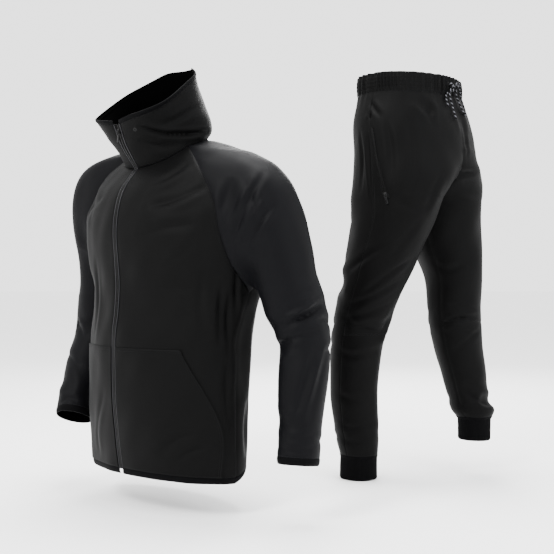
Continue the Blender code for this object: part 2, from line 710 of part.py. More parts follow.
def build_eyelet(garment, name, place, out, radius, material):
    """A ring with a rounded top round a small hole in the cloth."""
    out = Vector(unit(np.array(out)))
    side = Vector((0, 0, 1)).cross(out).normalized()
    profile = [(radius, 0.0), (radius * 0.92, 0.0009), (radius * 0.52, 0.0009)]
    profile += [(radius * 0.45, 0.0)]
    points, faces = [], []
    for k in range(EYELET_SIDES):
        angle = 2 * math.pi * k / EYELET_SIDES
        for reach, rise in profile:
            points.append((reach * math.cos(angle), reach * math.sin(angle), rise))
    count = len(profile)
    for k in range(EYELET_SIDES):
        after = (k + 1) % EYELET_SIDES
        for i in range(count):
            j = (i + 1) % count
            faces.append((k * count + i, after * count + i, after * count + j, k * count + j))
    mesh = bpy.data.meshes.new(name)
    mesh.from_pydata(points, [], faces)
    mesh.shade_smooth()
    mesh.materials.append(material)
    piece = bpy.data.objects.new(name, mesh)
    bpy.context.scene.collection.objects.link(piece)
    piece.parent = garment.frame
    base = Vector(place) + out * LAY_GAP
    piece.matrix_local = axes_matrix(base, side, out.cross(side), out)


def build_cord(garment, name, route, band, material):
    """A cord through the points of its route, laid proud of the front of the trousers."""
    route = np.array(route, float)
    steps = np.linspace(0, len(route) - 1, CORD_POINTS[name])
    keyed = np.column_stack([np.arange(len(route)), route])
    across, height, proud = table_at(keyed, steps)
    depth, half, middle = (np.interp(height, *column) for column in band)
    out = depth * np.sqrt(np.clip(1 - (across / half) ** 2, 0, 1)) - middle
    line = np.stack([across, -out - proud, height], axis=1)
    data = bpy.data.curves.new(name, "CURVE")
    data.dimensions = "3D"
    data.bevel_depth = CORD / 2
    data.bevel_resolution = 2
    data.use_fill_caps = True
    spline = data.splines.new("POLY")
    spline.points.add(len(line) - 1)
    for point, place in zip(spline.points, line):
        point.co = (*place, 1.0)
    spline.use_smooth = True
    data.materials.append(material)
    piece = bpy.data.objects.new(name, data)
    bpy.context.scene.collection.objects.link(piece)
    piece.parent = garment.frame


def paint(name, colour, roughness, metallic=0.0):
    material = bpy.data.materials.new(name)
    material.use_nodes = True
    shader = material.node_tree.nodes["Principled BSDF"]
    shader.inputs["Base Color"].default_value = (*colour, 1.0)
    shader.inputs["Roughness"].default_value = roughness
    shader.inputs["Metallic"].default_value = metallic
    return material


def build_jacket(jersey, rib, tape, metal):
    jacket = Garment("jacket", (0, 0, 0), JACKET_TURN)
    rows = body_rows()
    front, zip_tape = front_grid(rows)
    back = back_grid(rows)
    loop, neck_line = armhole(front, back, rows)
    bottom = np.concatenate([front[-1], neck_line[1:-1], back[-1]])
    hood = hood_grid(bottom)
    zip_neck = zip_tape[-1]
    zip_hood = hood_grid(np.stack([zip_neck[0], zip_neck[1]]))
    tape_grid = np.concatenate([zip_tape, zip_hood[1:]])

    jacket.add("front_left", front)
    jacket.add("front_right", mirrored(front))
    whole_back = np.concatenate([back, mirrored(back)[:, 1:]], axis=1)
    jacket.add("back", whole_back)
    for side, table in (("left", LEFT_SLEEVE), ("right", RIGHT_SLEEVE)):
        lean = SHOULDER_LEAN[side]
        leaving = seam_directions(front, back, rows, lean)
        sleeve = sleeve_grid(loop, leaving, table, SHOULDER_FULLNESS[side], lean)
        ring = sleeve[-1]
        down = unit(ring.mean(axis=0) - sleeve[-2].mean(axis=0))
        inset = ring.mean(axis=0) + (ring - ring.mean(axis=0)) * 0.96
        binding = np.stack([ring, inset + down * SLEEVE_BINDING])
        if side == "right":
            sleeve, binding = mirrored(sleeve), mirrored(binding)
        sleeve, binding = sleeve[::-1], binding[::-1]
        jacket.add(f"sleeve_{side}", sleeve, closed=True)
        jacket.add(f"cuff_binding_{side}", binding, closed=True)
    jacket.add("hood_left", hood)
    jacket.add("hood_right", mirrored(hood))
    jacket.add("zip_tape_left", tape_grid)
    jacket.add("zip_tape_right", mirrored(tape_grid))
    rim = np.concatenate([hood[-1], mirrored(hood)[-1][1:]])
    above = np.concatenate([hood[-2], mirrored(hood)[-2][1:]])
    jacket.add("hood_rim", np.stack([rim, rim + unit(rim - above) * HOOD_BINDING]))
    hem_line = np.concatenate([front[0], back[0][1:]])
    hem_line = np.concatenate([hem_line, (hem_line * (-1, 1, 1))[::-1][1:]])
    lowered = hem_line * (0.985, 0.985, 1) - (0, 0, HEM_BINDING)
    jacket.add("hem_binding", np.stack([lowered, hem_line]))
    jacket.settle()
    jacket.crease(JACKET_FOLDS)
    jacket.settle()

    top = int(np.argmin(np.abs(rows - POCKET_TOP_ROW))) + 1
    for side in ("left", "right"):
        panel = jacket.sheets[f"front_{side}"][0]
        facing = jacket.directions(panel)
        if side == "left":
            columns = slice(0, POCKET_COLUMN + 1)
            lift = POCKET_LIFT * np.linspace(0, 1, POCKET_COLUMN + 1) ** 3
        else:
            columns = slice(FRONT_COLUMNS - POCKET_COLUMN, FRONT_COLUMNS + 1)
            lift = POCKET_LIFT * np.linspace(1, 0, POCKET_COLUMN + 1) ** 3
        patch = drawn_in(panel[:top, columns], False, POCKET_MARGIN)
        raised = lift[None, :, None]
        lay_on(jacket, f"pocket_{side}", patch, facing[:top, columns], JERSEY, jersey, raised)

    tape_left, tape_right = (jacket.sheets[f"zip_tape_{side}"][0] for side in ("left", "right"))
    slider_row = np.array(float(len(rows) - 1) + SLIDER_ROW)
    place = between(tape_left, slider_row, np.array(0.0))
    ahead = between(tape_left, slider_row + 0.5, np.array(0.0))
    edge = between(tape_left, slider_row, np.array(1.0))
    out = np.cross(edge - place, ahead - place)
    forward = np.array([0.0, 1.0, 1.0])
    build_puller(jacket, "main_zip", place * forward, (ahead - place) * forward, out * forward, metal)
    for side in ("left", "right"):
        panel = jacket.sheets[f"hood_{side}"][0]
        row, column = HOOD_EYELET_ROW, 1 if side == "left" else panel.shape[1] - 3
        cell = panel[row : row + 2, column : column + 2].reshape(4, 3)
        spot = cell.mean(axis=0)
        facing = np.cross(cell[3] - cell[0], cell[2] - cell[1])
        build_eyelet(jacket, f"hood_eyelet_{side}", spot, facing, HOOD_EYELET, metal)

    for name in jacket.sheets:
        if "binding" in name or "rim" in name:
            sew(jacket, name, BINDING, rib, raised=0.0003)
        elif "tape" in name:
            sew(jacket, name, TAPE, tape)
        else:
            sew(jacket, name, JERSEY, jersey)
    return jacket


def front_of(band, facing, x, z):
    """The point of a band's front at this place across and this height, and its facing."""
    found = []
    for j in range(band.shape[1]):
        k = (j + 1) % band.shape[1]
        for i in range(band.shape[0] - 1):
            a, b = band[i, j], band[i, k]
            if min(a[0], b[0]) <= x <= max(a[0], b[0]) and a[1] < 0:
                if band[i, j, 2] <= z <= band[i + 1, j, 2]:
                    v = (x - a[0]) / (b[0] - a[0])
                    u = (z - a[2]) / (band[i + 1, j, 2] - a[2])
                    for source in (band, facing):
                        near = source[i, j] * (1 - v) + source[i, k] * v
                        far = source[i + 1, j] * (1 - v) + source[i + 1, k] * v
                        found.append(near * (1 - u) + far * u)
                    return found
    return found


def build_trousers(jersey, rib, tape, metal, marled):
    trousers = Garment("trousers", TROUSER_PLACE, TROUSER_TURN)
    for side, table in (("left", LEFT_LEG), ("right", RIGHT_LEG)):
        at = leg_sections(table, KNEE_Z[side])
        front = leg_ring(at, LEG_SHARES, True)[::-1]
        back = leg_ring(at, LEG_SHARES[::-1], False)[::-1]
        knee = SHIN_ROWS
        around = np.concatenate([front, back[:, 1:]], axis=1)
        end = around[0][:-1]
        middle = end.mean(axis=0)
        reach = CUFF_HALF_WIDTH[side] / ((end[:, 0].max() - end[:, 0].min()) / 2)
        narrow = middle + (end - middle) * (reach, reach, 1)
        drop = np.array([0, 0, -CUFF_HEIGHT])
        cuff = np.stack([narrow + drop, narrow + drop * 0.5, narrow + drop * 0.12, end])
        sheets = {"front": front[knee:], "shin": front[: knee + 1], "back": back}
        for part, grid in sheets.items():
            grid = grid if side == "left" else mirrored(grid)
            trousers.add(f"trouser_{part}_{side}", grid)
        cuff = cuff if side == "left" else mirrored(cuff)
        trousers.add(f"cuff_{side}", cuff, closed=True)
    left = trousers.sheets["trouser_front_left"][0][-1]
    left_back = trousers.sheets["trouser_back_left"][0][-1]
    half = np.concatenate([left, left_back[1:]])
    line = np.concatenate([half, (half * (-1, 1, 1))[::-1][1:-1]])
    top = line * (0.985, 0.985, 1) + (0, 0, WAISTBAND_HEIGHT)
    middle = (line + top) / 2 * (1.01, 1.01, 1)
    trousers.add("waistband", np.stack([line, middle, top]), closed=True)
    trousers.settle()
    trousers.crease(TROUSER_FOLDS)
    trousers.settle()

    for side in ("left", "right"):
        panel = trousers.sheets[f"trouser_front_{side}"][0]
        facing = trousers.directions(panel)
        top, end = POCKET_ZIP_ROWS
        first = panel.shape[0] - 1
        along = np.linspace(first - end, first - top, 7)
        centre = np.interp(along, (first - end, first - top), POCKET_ZIP_COLUMNS[::-1])
        across = np.array([-1, 1]) * POCKET_ZIP_WIDTH / 2
        columns = centre[:, None] + across[None, :]
        if side == "right":
            columns = (panel.shape[1] - 1 - columns)[:, ::-1]
        at = (along[:, None] * np.ones(2), columns)
        tape_grid, tape_facing = between(panel, *at), unit(between(facing, *at))
        lay_on(trousers, f"pocket_zip_{side}", tape_grid, tape_facing, TAPE, tape, TAPE_LIFT)
        foot, out = tape_grid[0].mean(axis=0), tape_facing[0].mean(axis=0)
        up = tape_grid[1].mean(axis=0) - foot
        place = foot + unit(up) * SLIDER_LENGTH + out * (LAY_GAP + TAPE_LIFT + TAPE)
        build_puller(trousers, f"pocket_zip_{side}", place, up, out, metal)

    band = trousers.sheets["waistband"][0]
    band_facing = trousers.directions(band)
    for side, sign in (("left", 1), ("right", -1)):
        spot, facing = front_of(band, band_facing, sign * WAIST_EYELET_X, WAIST_EYELET_Z)
        build_eyelet(trousers, f"waist_eyelet_{side}", spot, facing, WAIST_EYELET, metal)
    heights = [WAISTBAND_TOP, *(row[0] for row in HIP_SECTIONS)]
    widths, depths, middles = zip(*((row[1], row[2], row[4]) for row in HIP_SECTIONS))
    order = np.argsort(heights)
    band = [
        (np.array(heights)[order], np.array([column[0], *column])[order])
        for column in (depths, widths, middles)
    ]
    build_cord(trousers, "drawstring_left", DRAWSTRING_LONG, band, marled)
    build_cord(trousers, "drawstring_right", DRAWSTRING_SHORT, band, marled)

    for name in trousers.sheets:
        if name.startswith(("cuff", "waist")):
            sew(trousers, name, RIB, rib)
        else:
            sew(trousers, name, JERSEY, jersey)
    return trousers


def main():
    for old in list(bpy.data.objects):
        bpy.data.objects.remove(old)
    jersey = paint("black_jersey", (0.012, 0.012, 0.013), 0.62)
    rib = paint("black_rib", (0.010, 0.010, 0.010), 0.75)
    tape = paint("black_tape", (0.008, 0.008, 0.009), 0.55)
    metal = paint("black_metal", (0.030, 0.030, 0.032), 0.35, 0.9)
    marled = paint("marled_cord", (0.200, 0.200, 0.200), 0.80)
    build_jacket(jersey, rib, tape, metal)
    build_trousers(jersey, rib, tape, metal, marled)


main()
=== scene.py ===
import math
import bpy
import numpy as np
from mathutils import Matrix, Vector
from mathutils.bvhtree import BVHTree


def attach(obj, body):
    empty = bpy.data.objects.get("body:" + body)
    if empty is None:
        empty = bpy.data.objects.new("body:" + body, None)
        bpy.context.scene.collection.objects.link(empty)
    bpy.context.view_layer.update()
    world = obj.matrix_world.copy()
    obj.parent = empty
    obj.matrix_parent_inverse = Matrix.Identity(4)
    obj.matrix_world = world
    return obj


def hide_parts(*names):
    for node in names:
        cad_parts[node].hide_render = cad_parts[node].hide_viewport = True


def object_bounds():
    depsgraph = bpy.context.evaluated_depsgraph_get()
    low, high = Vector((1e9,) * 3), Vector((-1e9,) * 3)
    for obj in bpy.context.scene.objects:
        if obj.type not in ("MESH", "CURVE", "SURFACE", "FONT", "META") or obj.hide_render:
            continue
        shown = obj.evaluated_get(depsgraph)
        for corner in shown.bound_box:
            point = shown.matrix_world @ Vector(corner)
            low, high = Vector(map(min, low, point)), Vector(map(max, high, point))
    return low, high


# A black tracksuit, a hooded zip jacket and joggers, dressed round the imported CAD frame.
# Lengths are metres unless a name says mm. Each garment has its own frame:
# x to the wearer's left, y to the back, z up.

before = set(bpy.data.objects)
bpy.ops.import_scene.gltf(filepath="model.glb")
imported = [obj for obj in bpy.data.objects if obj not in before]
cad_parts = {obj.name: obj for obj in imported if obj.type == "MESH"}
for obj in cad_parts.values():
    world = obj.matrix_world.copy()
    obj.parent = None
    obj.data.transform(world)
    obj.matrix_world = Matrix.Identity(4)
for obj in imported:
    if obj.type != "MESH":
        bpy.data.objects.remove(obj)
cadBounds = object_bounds()
print("tracksuit: frame loaded")

# Camera, light and floor

view = {"place": (0.2495, -2.05, -0.271), "lens": 62.5, "sensor": 36.0, "pixels": 554}
pixelFocal = view["lens"] / view["sensor"] * view["pixels"]
cameraData = bpy.data.cameras.new("camera")
cameraData.lens, cameraData.sensor_width = view["lens"], view["sensor"]
camera = bpy.data.objects.new("camera", cameraData)
camera.location = view["place"]
camera.rotation_euler = (math.pi / 2, 0, 0)
bpy.context.scene.collection.objects.link(camera)
bpy.context.scene.camera = camera


def linear(hexColour):
    parts = [int(hexColour[i : i + 2], 16) / 255 for i in (1, 3, 5)]
    return [c / 12.92 if c <= 0.04045 else ((c + 0.055) / 1.055) ** 2.4 for c in parts]


def areaLight(name, place, target, size, power, colour):
    data = bpy.data.lights.new(name, "AREA")
    data.shape, data.size, data.energy = "DISK", size, power
    data.color = linear(colour)
    light = bpy.data.objects.new(name, data)
    light.location = place
    aim = Vector(target) - Vector(place)
    light.rotation_euler = aim.to_track_quat("-Z", "Y").to_euler()
    bpy.context.scene.collection.objects.link(light)


studio = {
    # Each lamp: place, what it is aimed at, width, watts and colour.
    "world": 2.6,
    "key": ((-1.3, -1.9, 1.6), (0.1, 0.1, -0.2), 1.0, 110.0, "#ffffff"),
    "fill": ((2.3, -1.6, 0.8), (0.4, 0.2, -0.3), 1.4, 45.0, "#f6f9ff"),
    "top": ((0.2, 0.4, 2.2), (0.25, 0.1, -0.2), 1.2, 110.0, "#ffffff"),
    "back": ((0.6, 2.4, 1.0), (0.3, 0.2, -0.2), 1.4, 70.0, "#ffffff"),
}
for lightName in ("key", "fill", "top", "back"):
    areaLight(lightName, *studio[lightName])
world = bpy.data.worlds.new("studio")
world.use_nodes = True
world.node_tree.nodes["Background"].inputs["Color"].default_value = (1, 1, 1, 1)
world.node_tree.nodes["Background"].inputs["Strength"].default_value = studio["world"]
bpy.context.scene.world = world

# Materials


def addNode(tree, kind, inputs=None, **settings):
    node = tree.nodes.new(kind)
    for key, value in settings.items():
        setattr(node, key, value)
    for key, value in (inputs or {}).items():
        if isinstance(value, bpy.types.NodeSocket):
            tree.links.new(value, node.inputs[key])
        else:
            node.inputs[key].default_value = value
    return node


def newMaterial(name, **sockets):
    material = bpy.data.materials.new(name)
    material.use_nodes = True
    shader = material.node_tree.nodes["Principled BSDF"]
    for key, value in sockets.items():
        shader.inputs[key.replace("_", " ")].default_value = value
    return material, material.node_tree, shader


def bandScale(pitch):
    return 2 * math.pi / 20 / pitch  # a wave texture has one band for each 2 pi / 20 units


def cloth(name, dark, light, waleMm, courseMm, depthMm, roughness, sheen, specular):
    # Knitted polyester: fine wales and courses, a soft sheen, and dye that is never quite even.
    material, tree, shader = newMaterial(name, Specular_IOR_Level=specular, IOR=1.5)
    shader.inputs["Sheen Weight"].default_value = sheen
    shader.inputs["Sheen Roughness"].default_value = 0.45
    shader.inputs["Sheen Tint"].default_value = (*linear("#c8ccd6"), 1)
    uv = addNode(tree, "ShaderNodeUVMap", uv_map="cloth").outputs["UV"]
    place = addNode(tree, "ShaderNodeTexCoord").outputs["Object"]
    # Uneven dye in patches about 140 mm wide, and fibres about 1.1 mm apart: 7 and 900 to a metre.
    patches = addNode(
        tree, "ShaderNodeTexNoise", {"Vector": place, "Scale": 7.0, "Detail": 3.0}
    ).outputs["Fac"]
    fuzz = addNode(
        tree, "ShaderNodeTexNoise", {"Vector": uv, "Scale": 900.0, "Detail": 2.0}
    ).outputs["Fac"]
    wales = addNode(
        tree, "ShaderNodeTexWave",
        {"Vector": uv, "Scale": bandScale(waleMm / 1000), "Distortion": 0.6, "Detail": 1.0},
        wave_type="BANDS", bands_direction="X",
    ).outputs["Fac"]
    courses = addNode(
        tree, "ShaderNodeTexWave",
        {"Vector": uv, "Scale": bandScale(courseMm / 1000), "Distortion": 0.6},
        wave_type="BANDS", bands_direction="Y",
    ).outputs["Fac"]
    knit = addNode(
        tree, "ShaderNodeMath", {0: wales, 1: courses}, operation="MULTIPLY"
    ).outputs[0]
    relief = addNode(
        tree, "ShaderNodeMath", {0: fuzz, 1: 0.5, 2: knit}, operation="MULTIPLY_ADD"
    ).outputs[0]
    edge = addNode(tree, "ShaderNodeAttribute", attribute_name="edge").outputs["Fac"]
    # The last 5 mm beside a sewn edge are painted a little lighter: partly wear, partly a painted
    # highlight on the seam's ridge.
    seamWearAndHighlight = addNode(
        tree, "ShaderNodeMapRange",
        {"Value": edge, "From Min": 0.0, "From Max": 0.005, "To Min": 0.35, "To Max": 0.0},
    ).outputs[0]
    tone = addNode(
        tree, "ShaderNodeMapRange",
        {"Value": patches, "From Min": 0.3, "From Max": 0.7, "To Min": 0.25, "To Max": 0.6},
    ).outputs[0]
    tone = addNode(tree, "ShaderNodeMath", {0: tone, 1: seamWearAndHighlight}, operation="ADD").outputs[0]
    # The knit's raised loops are painted lighter and its grooves darker: painted shade that
    # follows the bump.
    tone = addNode(
        tree, "ShaderNodeMath", {0: knit, 1: 0.25, 2: tone}, operation="MULTIPLY_ADD"
    ).outputs[0]
    colour = addNode(
        tree, "ShaderNodeMix", {"Factor": tone}, data_type="RGBA", clamp_factor=True
    )
    colour.inputs["A"].default_value = (*linear(dark), 1)
    colour.inputs["B"].default_value = (*linear(light), 1)
    tree.links.new(colour.outputs["Result"], shader.inputs["Base Color"])
    rough = addNode(
        tree, "ShaderNodeMapRange",
        {"Value": patches, "To Min": roughness - 0.06, "To Max": roughness + 0.06},
    ).outputs[0]
    tree.links.new(rough, shader.inputs["Roughness"])
    bump = addNode(
        tree, "ShaderNodeBump",
        {"Height": relief, "Distance": depthMm / 1000, "Strength": 0.7},
    )
    tree.links.new(bump.outputs["Normal"], shader.inputs["Normal"])
    return material


def hardFinish(name, dark, light, roughness, metallic, grainMm, depthMm, specular):
    # A small hard part or thread: an even colour, fine grain, and edges that catch light.
    material, tree, shader = newMaterial(name, Metallic=metallic)
    shader.inputs["Specular IOR Level"].default_value = specular
    place = addNode(tree, "ShaderNodeTexCoord").outputs["Object"]
    grain = addNode(
        tree, "ShaderNodeTexNoise",
        {"Vector": place, "Scale": 1000 / grainMm, "Detail": 3.0},
    ).outputs["Fac"]
    colour = addNode(
        tree, "ShaderNodeMix", {"Factor": grain}, data_type="RGBA", clamp_factor=True
    )
    colour.inputs["A"].default_value = (*linear(dark), 1)
    colour.inputs["B"].default_value = (*linear(light), 1)
    tree.links.new(colour.outputs["Result"], shader.inputs["Base Color"])
    rough = addNode(
        tree, "ShaderNodeMapRange",
        {"Value": grain, "To Min": roughness - 0.08, "To Max": roughness + 0.08},
    ).outputs[0]
    tree.links.new(rough, shader.inputs["Roughness"])
    bump = addNode(
        tree, "ShaderNodeBump",
        {"Height": grain, "Distance": depthMm / 1000, "Strength": 0.5},
    )
    tree.links.new(bump.outputs["Normal"], shader.inputs["Normal"])
    return material


def marledBraid(name, turnMm, markMm, dark, pale):
    # A braided polyester cord whose strands cross slantwise; the one pale yarn in it comes up as
    # a short slanting dash, once in every turn of that yarn.
    material, tree, shader = newMaterial(name, Roughness=0.75, Specular_IOR_Level=0.06)
    uv = addNode(tree, "ShaderNodeUVMap", uv_map="cloth").outputs["UV"]
    apart = addNode(tree, "ShaderNodeSeparateXYZ", {0: uv}).outputs
    heights = []
    for slant, pitchMm in ((1.0, turnMm), (-1.0, turnMm), (1.0, markMm)):
        lean = addNode(
            tree, "ShaderNodeMath", {0: apart[0], 1: slant, 2: apart[1]},
            operation="MULTIPLY_ADD",
        ).outputs[0]
        spot = addNode(tree, "ShaderNodeCombineXYZ", {0: lean}).outputs[0]
        heights.append(
            addNode(
                tree, "ShaderNodeTexWave",
                {"Vector": spot, "Scale": bandScale(pitchMm / 1000)},
                wave_type="BANDS", bands_direction="X",
            ).outputs["Fac"]
        )
    strands = addNode(
        tree, "ShaderNodeMath", {0: heights[0], 1: heights[1]}, operation="MULTIPLY"
    ).outputs[0]
    fleck = addNode(
        tree, "ShaderNodeTexNoise", {"Vector": uv, "Scale": 700.0, "Detail": 2.0}
    ).outputs["Fac"]
    mixed = addNode(
        tree, "ShaderNodeMath", {0: fleck, 1: 0.5, 2: heights[2]}, operation="MULTIPLY_ADD"
    ).outputs[0]
    share = addNode(
        tree, "ShaderNodeMapRange", {"Value": mixed, "From Min": 0.90, "From Max": 1.10}
    ).outputs[0]
    colour = addNode(
        tree, "ShaderNodeMix", {"Factor": share}, data_type="RGBA", clamp_factor=True
    )
    colour.inputs["A"].default_value = (*linear(dark), 1)
    colour.inputs["B"].default_value = (*linear(pale), 1)
    tree.links.new(colour.outputs["Result"], shader.inputs["Base Color"])
    bump = addNode(
        tree, "ShaderNodeBump", {"Height": strands, "Distance": 0.0003, "Strength": 0.8}
    )
    tree.links.new(bump.outputs["Normal"], shader.inputs["Normal"])
    return material


finishes = {
    # name: dark, light, wale mm, course mm, depth mm, roughness, sheen, specular.
    # Real wales are about 0.5 mm apart; they are drawn coarser, so that they show.
    # The smooth side of the jersey: deep black, grey only where a fold turns to the light.
    "knitted polyester": ("#020202", "#050505", 1.4, 1.1, 0.10, 0.60, 0.003, 0.045),
    # The sleeves' jersey: the same, a touch colder and smoother.
    "knitted polyester, sleeves": ("#020203", "#050507", 1.4, 1.1, 0.10, 0.57, 0.004, 0.055),
    # The side that lies within: loopier, and it swallows nearly all light.
    "polyester wrong side": ("#010101", "#020202", 1.8, 1.8, 0.15, 0.90, 0.001, 0.010),
    # Cuffs and bindings: matt ribs, with painted shade darkening the lines between them.
    "ribbed polyester knit": ("#020202", "#040405", 3.0, 1.2, 0.25, 0.70, 0.003, 0.030),
    # The zip's tape: a close flat weave, a little smoother than the jersey.
    "woven polyester tape": ("#020202", "#040404", 0.9, 0.7, 0.12, 0.55, 0.002, 0.040),
}
hardFinishes = {
    # name: dark, light, roughness, metallic, grain mm, depth mm, specular.
    # Moulded teeth: a small sharp glint on each.
    "nylon zip coil": ("#030303", "#070707", 0.36, 0.0, 0.6, 0.05, 0.12),
    # Die-cast sliders, tabs and eyelets under black lacquer: dark, with soft bright edges.
    "lacquered zinc": ("#060606", "#0e0e0f", 0.34, 0.4, 0.5, 0.03, 0.2),
    # Spun thread: a faint sheen, a little lighter than the cloth round it.
    "polyester thread": ("#0a0a0b", "#151517", 0.45, 0.0, 0.4, 0.05, 0.10),
    # The satin edge of the tape, smoother and painted pale grey: the two pale lines beside the
    # zip, a painted highlight along the tape's edge.
    "satin edging, painted highlight": ("#121214", "#1e1e21", 0.34, 0.0, 0.8, 0.05, 0.2),
}
braid = {"turnMm": 5.0, "markMm": 11.0, "dark": "#060607", "pale": "#525256"}
materials = {name: cloth(name, *values) for name, values in finishes.items()}
materials.update({name: hardFinish(name, *values) for name, values in hardFinishes.items()})
materials["marled braid"] = marledBraid("marled braid", **braid)
print("tracksuit: materials made")

# The cloth's surfaces


def tableAt(rows, at):
    # Smooth values of a table's columns, at places between the keys in its first column.
    rows = np.array(rows, float)
    key, columns = rows[:, 0], rows[:, 1:]
    slopes = np.gradient(columns, key, axis=0)
    at = np.clip(np.atleast_1d(np.array(at, float)), key[0], key[-1])
    step = np.clip(np.searchsorted(key, at, side="right") - 1, 0, len(key) - 2)
    width = (key[step + 1] - key[step])[:, None]
    t = (at - key[step])[:, None] / width
    before, after = columns[step], columns[step + 1]
    return hermite(before, slopes[step] * width, after, slopes[step + 1] * width, t).T


def hermite(start, startPull, end, endPull, t):
    return (
        (2 * t**3 - 3 * t**2 + 1) * start + (t**3 - 2 * t**2 + t) * startPull
        + (3 * t**2 - 2 * t**3) * end + (t**3 - t**2) * endPull
    )


def named(table, at):
    # The same by the names of the columns.
    return dict(zip(table["columns"].split()[1:], tableAt(sorted(table["rows"]), at)))


def unit(vectors):
    return vectors / np.maximum(np.linalg.norm(vectors, axis=-1, keepdims=True), 1e-12)


def mirrored(grid):
    # The other side of the body, with columns turned so that the sheet still faces out.
    return (grid * np.array([-1.0, 1.0, 1.0]))[:, ::-1]


def between(grid, rows, columns):
    # A grid's values at rows and columns that may lie between its own.
    rows, columns = np.broadcast_arrays(rows, columns)
    i = np.clip(np.floor(rows).astype(int), 0, grid.shape[0] - 2)
    j = np.clip(np.floor(columns).astype(int), 0, grid.shape[1] - 2)
    u, v = (rows - i)[..., None], (columns - j)[..., None]
    near = grid[i, j] * (1 - v) + grid[i, j + 1] * v
    far = grid[i + 1, j] * (1 - v) + grid[i + 1, j + 1] * v
    return near * (1 - u) + far * u


def resampled(grid, rowCount, columnTimes, closed):
    grid = np.concatenate([grid, grid[:, :1]], axis=1) if closed else grid
    rows = np.linspace(0, grid.shape[0] - 1, rowCount)[:, None]
    columns = np.arange((grid.shape[1] - 1) * columnTimes + (not closed)) / columnTimes
    return between(grid, rows, columns[None, :])


garments = {
    "jacket": {"turn": math.radians(-45), "place": (0.0, 0.0, 0.0)},
    "trousers": {"turn": math.radians(50), "place": (0.576, 0.290, 0.203)},
}
sheets = {}


def inScene(garment, points):
    # From the garment's own frame to the scene.
    turn = garments[garment]["turn"]
    c, s = math.cos(turn), math.sin(turn)
    spin = np.array([[c, s, 0], [-s, c, 0], [0, 0, 1]])
    return np.asarray(points, float) @ spin + np.array(garments[garment]["place"])


def addSheet(garment, name, grid, closed=False):
    sheets[name] = {"garment": garment, "grid": inScene(garment, grid), "closed": closed}


jacketBody = {
    "columns": "row frontY frontZ frontSeamX frontSeamY frontSeamZ frontTurn"
    " backSeamX backSeamY backSeamZ backTurn backY backZ",
    "rows": [
        (0.0, -0.101, -0.664, 0.214, 0.024, -0.672, 90, 0.214, 0.024, -0.672, 90, 0.134, -0.640),
        (1.0, -0.114, -0.565, 0.211, 0.026, -0.570, 90, 0.211, 0.026, -0.570, 90, 0.146, -0.550),
        (2.0, -0.120, -0.412, 0.206, 0.034, -0.415, 90, 0.206, 0.034, -0.415, 90, 0.166, -0.410),
        (3.0, -0.112, -0.345, 0.210, 0.044, -0.355, 90, 0.210, 0.044, -0.355, 90, 0.176, -0.340),
        (4.0, -0.109, -0.290, 0.218, 0.056, -0.305, 88, 0.218, 0.056, -0.305, 88, 0.184, -0.280),
        (5.0, -0.112, -0.240, 0.222, 0.002, -0.245, 76, 0.216, 0.112, -0.245, 76, 0.184, -0.215),
        (6.0, -0.118, -0.185, 0.217, -0.024, -0.182, 64, 0.205, 0.135, -0.175, 64, 0.180, -0.150),
        (7.0, -0.113, -0.138, 0.207, -0.030, -0.122, 60, 0.182, 0.138, -0.105, 60, 0.160, -0.085),
        (8.0, -0.095, -0.088, 0.158, -0.026, -0.050, 68, 0.125, 0.112, -0.030, 68, 0.122, -0.015),
        (9.0, -0.062, -0.045, 0.095, 0.000, 0.000, 88, 0.074, 0.068, 0.020, 80, 0.090, 0.030),
    ],
    "rowsBetween": (3, 4, 2, 2, 2, 2, 2, 2, 2),
    "underarmRow": 4.0,
    "zipHalfWidth": 0.0060,
    "pocketEdge": [(0.0, 0.84), (1.0, 0.85), (2.0, 0.54), (3.0, 0.60), (4.0, 0.64), (9.0, 0.66)],
    "pocketTopRow": 2.0,
    "pocketColumns": 6,
    "sideColumns": 3,
    "backColumns": 7,
    "neckColumns": 3,
    "fine": 9,
    "fineAcross": 8,
    "neckLean": (0.020, 0.050, 0.010),
    "hemBinding": 0.010,
    "hemShare": (0.985, 0.985, 1),
}
sleeves = {
    "columns": "share x y z halfAcross halfDeep",
    "left": [
        (0.00, 0.305, 0.096, -0.322, 0.057, 0.068),
        (0.25, 0.324, 0.106, -0.395, 0.049, 0.056),
        (0.55, 0.332, 0.092, -0.480, 0.049, 0.052),
        (0.85, 0.340, 0.076, -0.575, 0.041, 0.045),
        (1.00, 0.342, 0.070, -0.620, 0.041, 0.044),
    ],
    "right": [
        (0.00, 0.284, 0.056, -0.325, 0.052, 0.066),
        (0.25, 0.294, 0.046, -0.400, 0.050, 0.056),
        (0.55, 0.285, 0.012, -0.470, 0.049, 0.052),
        (0.85, 0.263, -0.030, -0.545, 0.041, 0.045),
        (1.00, 0.254, -0.045, -0.578, 0.041, 0.044),
    ],
    # How far the cloth stands out over the shoulder, and which way the shoulder points.
    "fullness": {"left": 1.40, "right": 1.60},
    "lean": {"left": (1.0, 0.06, -0.02), "right": (1.0, -0.45, 0.16)},
    "leavingPull": 0.45,
    "towardPull": 0.4,
    "overPull": 0.35,
    "easing": 90,
    "shoulderRows": 72,
    "armRows": 112,
    "binding": 0.012,
    "bindingShare": 0.96,
}
hood = {
    "columns": "angle foldReach foldZ rimReach rimZ",
    "rows": [
        (0, 0.094, 0.000, 0.108, 0.040),
        (45, 0.100, 0.012, 0.132, 0.060),
        (90, 0.103, 0.040, 0.102, 0.128),
        (135, 0.109, 0.052, 0.072, 0.166),
        (180, 0.108, 0.058, 0.082, 0.174),
    ],
    "lowRows": 3,
    "highRows": 5,
    "fine": 5,
    "pull": 0.45,
    "crease": 0.0015,
    "creaseAt": 2,
    "bulgeAt": 4,
    "binding": 0.007,
}


